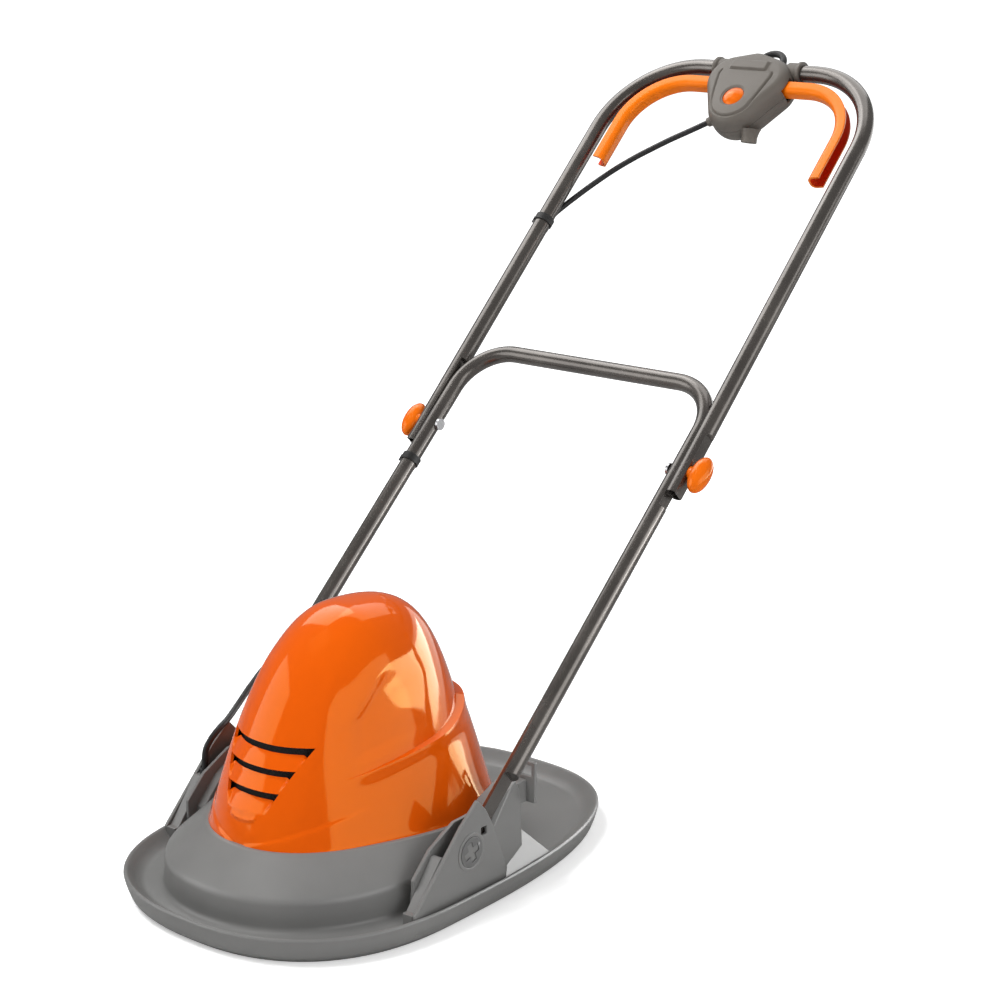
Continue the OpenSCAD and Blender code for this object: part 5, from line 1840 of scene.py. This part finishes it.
class BarePieces:
    """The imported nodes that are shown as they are: tubes, pins, clips, button, motor, fan and blade."""

    def __init__(self, frame: dict) -> None:
        """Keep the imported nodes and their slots."""
        self.nodes = frame["nodes"]
        self.slots = {row["node"]: Slot(row["material_slot"]) for row in frame["record"]["subparts"]}

    def dress(self, finish: Finishes) -> None:
        """Give every shown node its finish.

        Args:
            finish: Materials.
        """
        by_slot = {
            Slot.DECK: finish.deck, Slot.HOOD: finish.hood, Slot.ORANGE: finish.knob,
            Slot.BOX: finish.box, Slot.BLACK: finish.black, Slot.TUBE: finish.tube,
            Slot.LEAD: finish.rubber, Slot.STEEL: finish.steel, Slot.IRON: finish.iron,
            Slot.COPPER: finish.copper,
        }
        for name, node in self.nodes.items():
            if node.hide_render:
                continue
            node.data.materials.clear()
            node.data.materials.append(by_slot[self.slots[name]])
            LOG.info("%s keeps its own shape", name)


# Studio


@dataclass(frozen=True)
class Lamp:
    """A rectangular soft box."""

    name: str
    place: Point
    aim: Point
    size: Point
    power: float
    rays: Rays

    def make(self) -> None:
        """Hang the lamp."""
        data = bpy.data.lights.new(self.name, "AREA")
        data.shape = "RECTANGLE"
        data.size, data.size_y = self.size
        data.energy = self.power
        lamp = bpy.data.objects.new(self.name, data)
        lamp.visible_camera = False
        lamp.visible_diffuse = self.rays is Rays.MATT
        lamp.visible_glossy = self.rays is Rays.GLOSS
        lamp.location = self.place
        lamp.rotation_euler = (Vector(self.aim) - Vector(self.place)).to_track_quat("-Z", "Y").to_euler()
        bpy.context.scene.collection.objects.link(lamp)


@dataclass
class Studio:
    """Pale floor, white surround, soft boxes and the camera at the photo's angle."""

    azimuth: float = 39.696
    elevation: float = 15.154
    place: Point = (1.50188, -1.825556, 0.96728)
    lens: float = 84.94
    sensor: float = 36.0
    clip: Point = (0.05, 60.0)
    fill: float = 0.42
    mirror: float = 0.25
    floor_half: float = 14.0
    floor_glow: Point = (0.42, 0.5)
    floor_halo: Point = (0.55, 0.7)
    LAMPS = (
        Lamp("key", (-0.7, -1.1, 2.7), (0.0, -0.1, 0.2), (1.4, 1.1), 66.0, Rays.MATT),
        Lamp("side", (2.1, -0.5, 0.8), (0.0, -0.1, 0.2), (1.2, 1.0), 14.0, Rays.MATT),
        Lamp("crown", (-0.25, 0.61, 1.34), (0.02, -0.25, 0.27), (1.0, 0.9), 4.5, Rays.GLOSS),
        Lamp("bar", (-0.9, 0.22, 1.45), (0.0, 0.0, 0.3), (0.9, 1.0), 7.5, Rays.GLOSS),
        Lamp("left", (-1.5, -1.7, 0.9), (0.0, -0.1, 0.2), (1.6, 1.4), 14.0, Rays.GLOSS),
        Lamp("right", (2.3, 0.0, 0.8), (0.0, -0.1, 0.2), (2.8, 1.3), 22.0, Rays.GLOSS),
        Lamp("window", (0.65, 0.83, 0.3), (0.6, 0.74, -0.7), (0.8, 1.4), 26.0, Rays.GLOSS),
        Lamp("backdrop", (0.6, 2.8, 0.6), (0.0, -0.1, 0.2), (3.2, 1.1), 18.0, Rays.GLOSS),
    )

    def camera(self) -> None:
        """Stand the camera where the photo was taken."""
        a, e = math.radians(self.azimuth), math.radians(self.elevation)
        back = Vector((math.sin(a) * math.cos(e), -math.cos(a) * math.cos(e), math.sin(e)))
        data = bpy.data.cameras.new("camera")
        data.lens, data.sensor_width = self.lens, self.sensor
        data.clip_start, data.clip_end = self.clip
        camera = bpy.data.objects.new("camera", data)
        camera.location = self.place
        camera.rotation_euler = (-back).to_track_quat("-Z", "Y").to_euler()
        bpy.context.scene.collection.objects.link(camera)
        bpy.context.scene.camera = camera

    def floor(self) -> None:
        """Lay the pale floor, which the camera sees as white outside the mower's shadow."""
        mesh = bpy.data.meshes.new("floor")
        far = self.floor_half
        mesh.from_pydata([(x, y, 0) for x, y in rectangle(-far, -far, far, far)], [], [(0, 1, 2, 3)])
        g = Graph.material("floor_paper")
        cloud = g.noise(3.0, 2.0)
        away = g.add("ShaderNodeVectorMath", {"operation": "LENGTH"}, {0: g.place()}, "Value")
        least, more = self.floor_glow
        glow = g.ray("Is Camera Ray") * (away.above(*self.floor_halo) * more + least)
        paper = g.mix(cloud, (0.93, 0.93, 0.93), (0.95, 0.95, 0.95))
        g.set(
            Base_Color=g.mix(g.ray("Is Glossy Ray"), paper, (0.4, 0.4, 0.4)),
            Roughness=0.9 + cloud * 0.05,
            Specular_IOR_Level=0.0,
            Emission_Color=g.mix(glow, (0.0, 0.0, 0.0), (1.0, 1.0, 1.0)),
            Emission_Strength=1.0,
        )
        mesh.materials.append(g.owner)
        floor = bpy.data.objects.new("floor", mesh)
        bpy.context.scene.collection.objects.link(floor)

    def surround(self) -> None:
        """Light the surround: white to the camera, a fill to matt surfaces and dim in reflections."""
        g = Graph(bpy.data.worlds.new("surround"))
        fill, mirror, white = (
            g.add("ShaderNodeBackground", {}, {"Color": (1.0, 1.0, 1.0, 1.0), "Strength": level})
            for level in (self.fill, self.mirror, 1.0)
        )
        lit = g.add("ShaderNodeMixShader", {}, {0: g.ray("Is Glossy Ray"), 1: fill, 2: mirror})
        seen = g.add("ShaderNodeMixShader", {}, {0: g.ray("Is Camera Ray"), 1: lit, 2: white})
        g.feed(g.tree.nodes["World Output"].inputs["Surface"], seen)
        bpy.context.scene.world = g.owner

    def build(self) -> None:
        """Set the whole studio."""
        self.floor()
        self.surround()
        for lamp in self.LAMPS:
            lamp.make()
        self.camera()
        bpy.context.scene.view_settings.view_transform = "Standard"


def main() -> None:
    """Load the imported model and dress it."""
    logging.basicConfig(level=logging.INFO, format="%(message)s")
    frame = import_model()
    layout = Layout(frame["joints"])
    finish = Finishes()
    for whole in (MotorHood, DeckPan, SwitchBox, ButtonSpring, MotorLead):
        whole(layout, finish).build()
    for side in Side:
        for sided in (HandleFork, PivotPlug, StartLever, WingKnob):
            sided(layout, finish, side).build()
    BarePieces(frame).dress(finish)
    Studio().build()


if __name__ == "__main__":
    main()
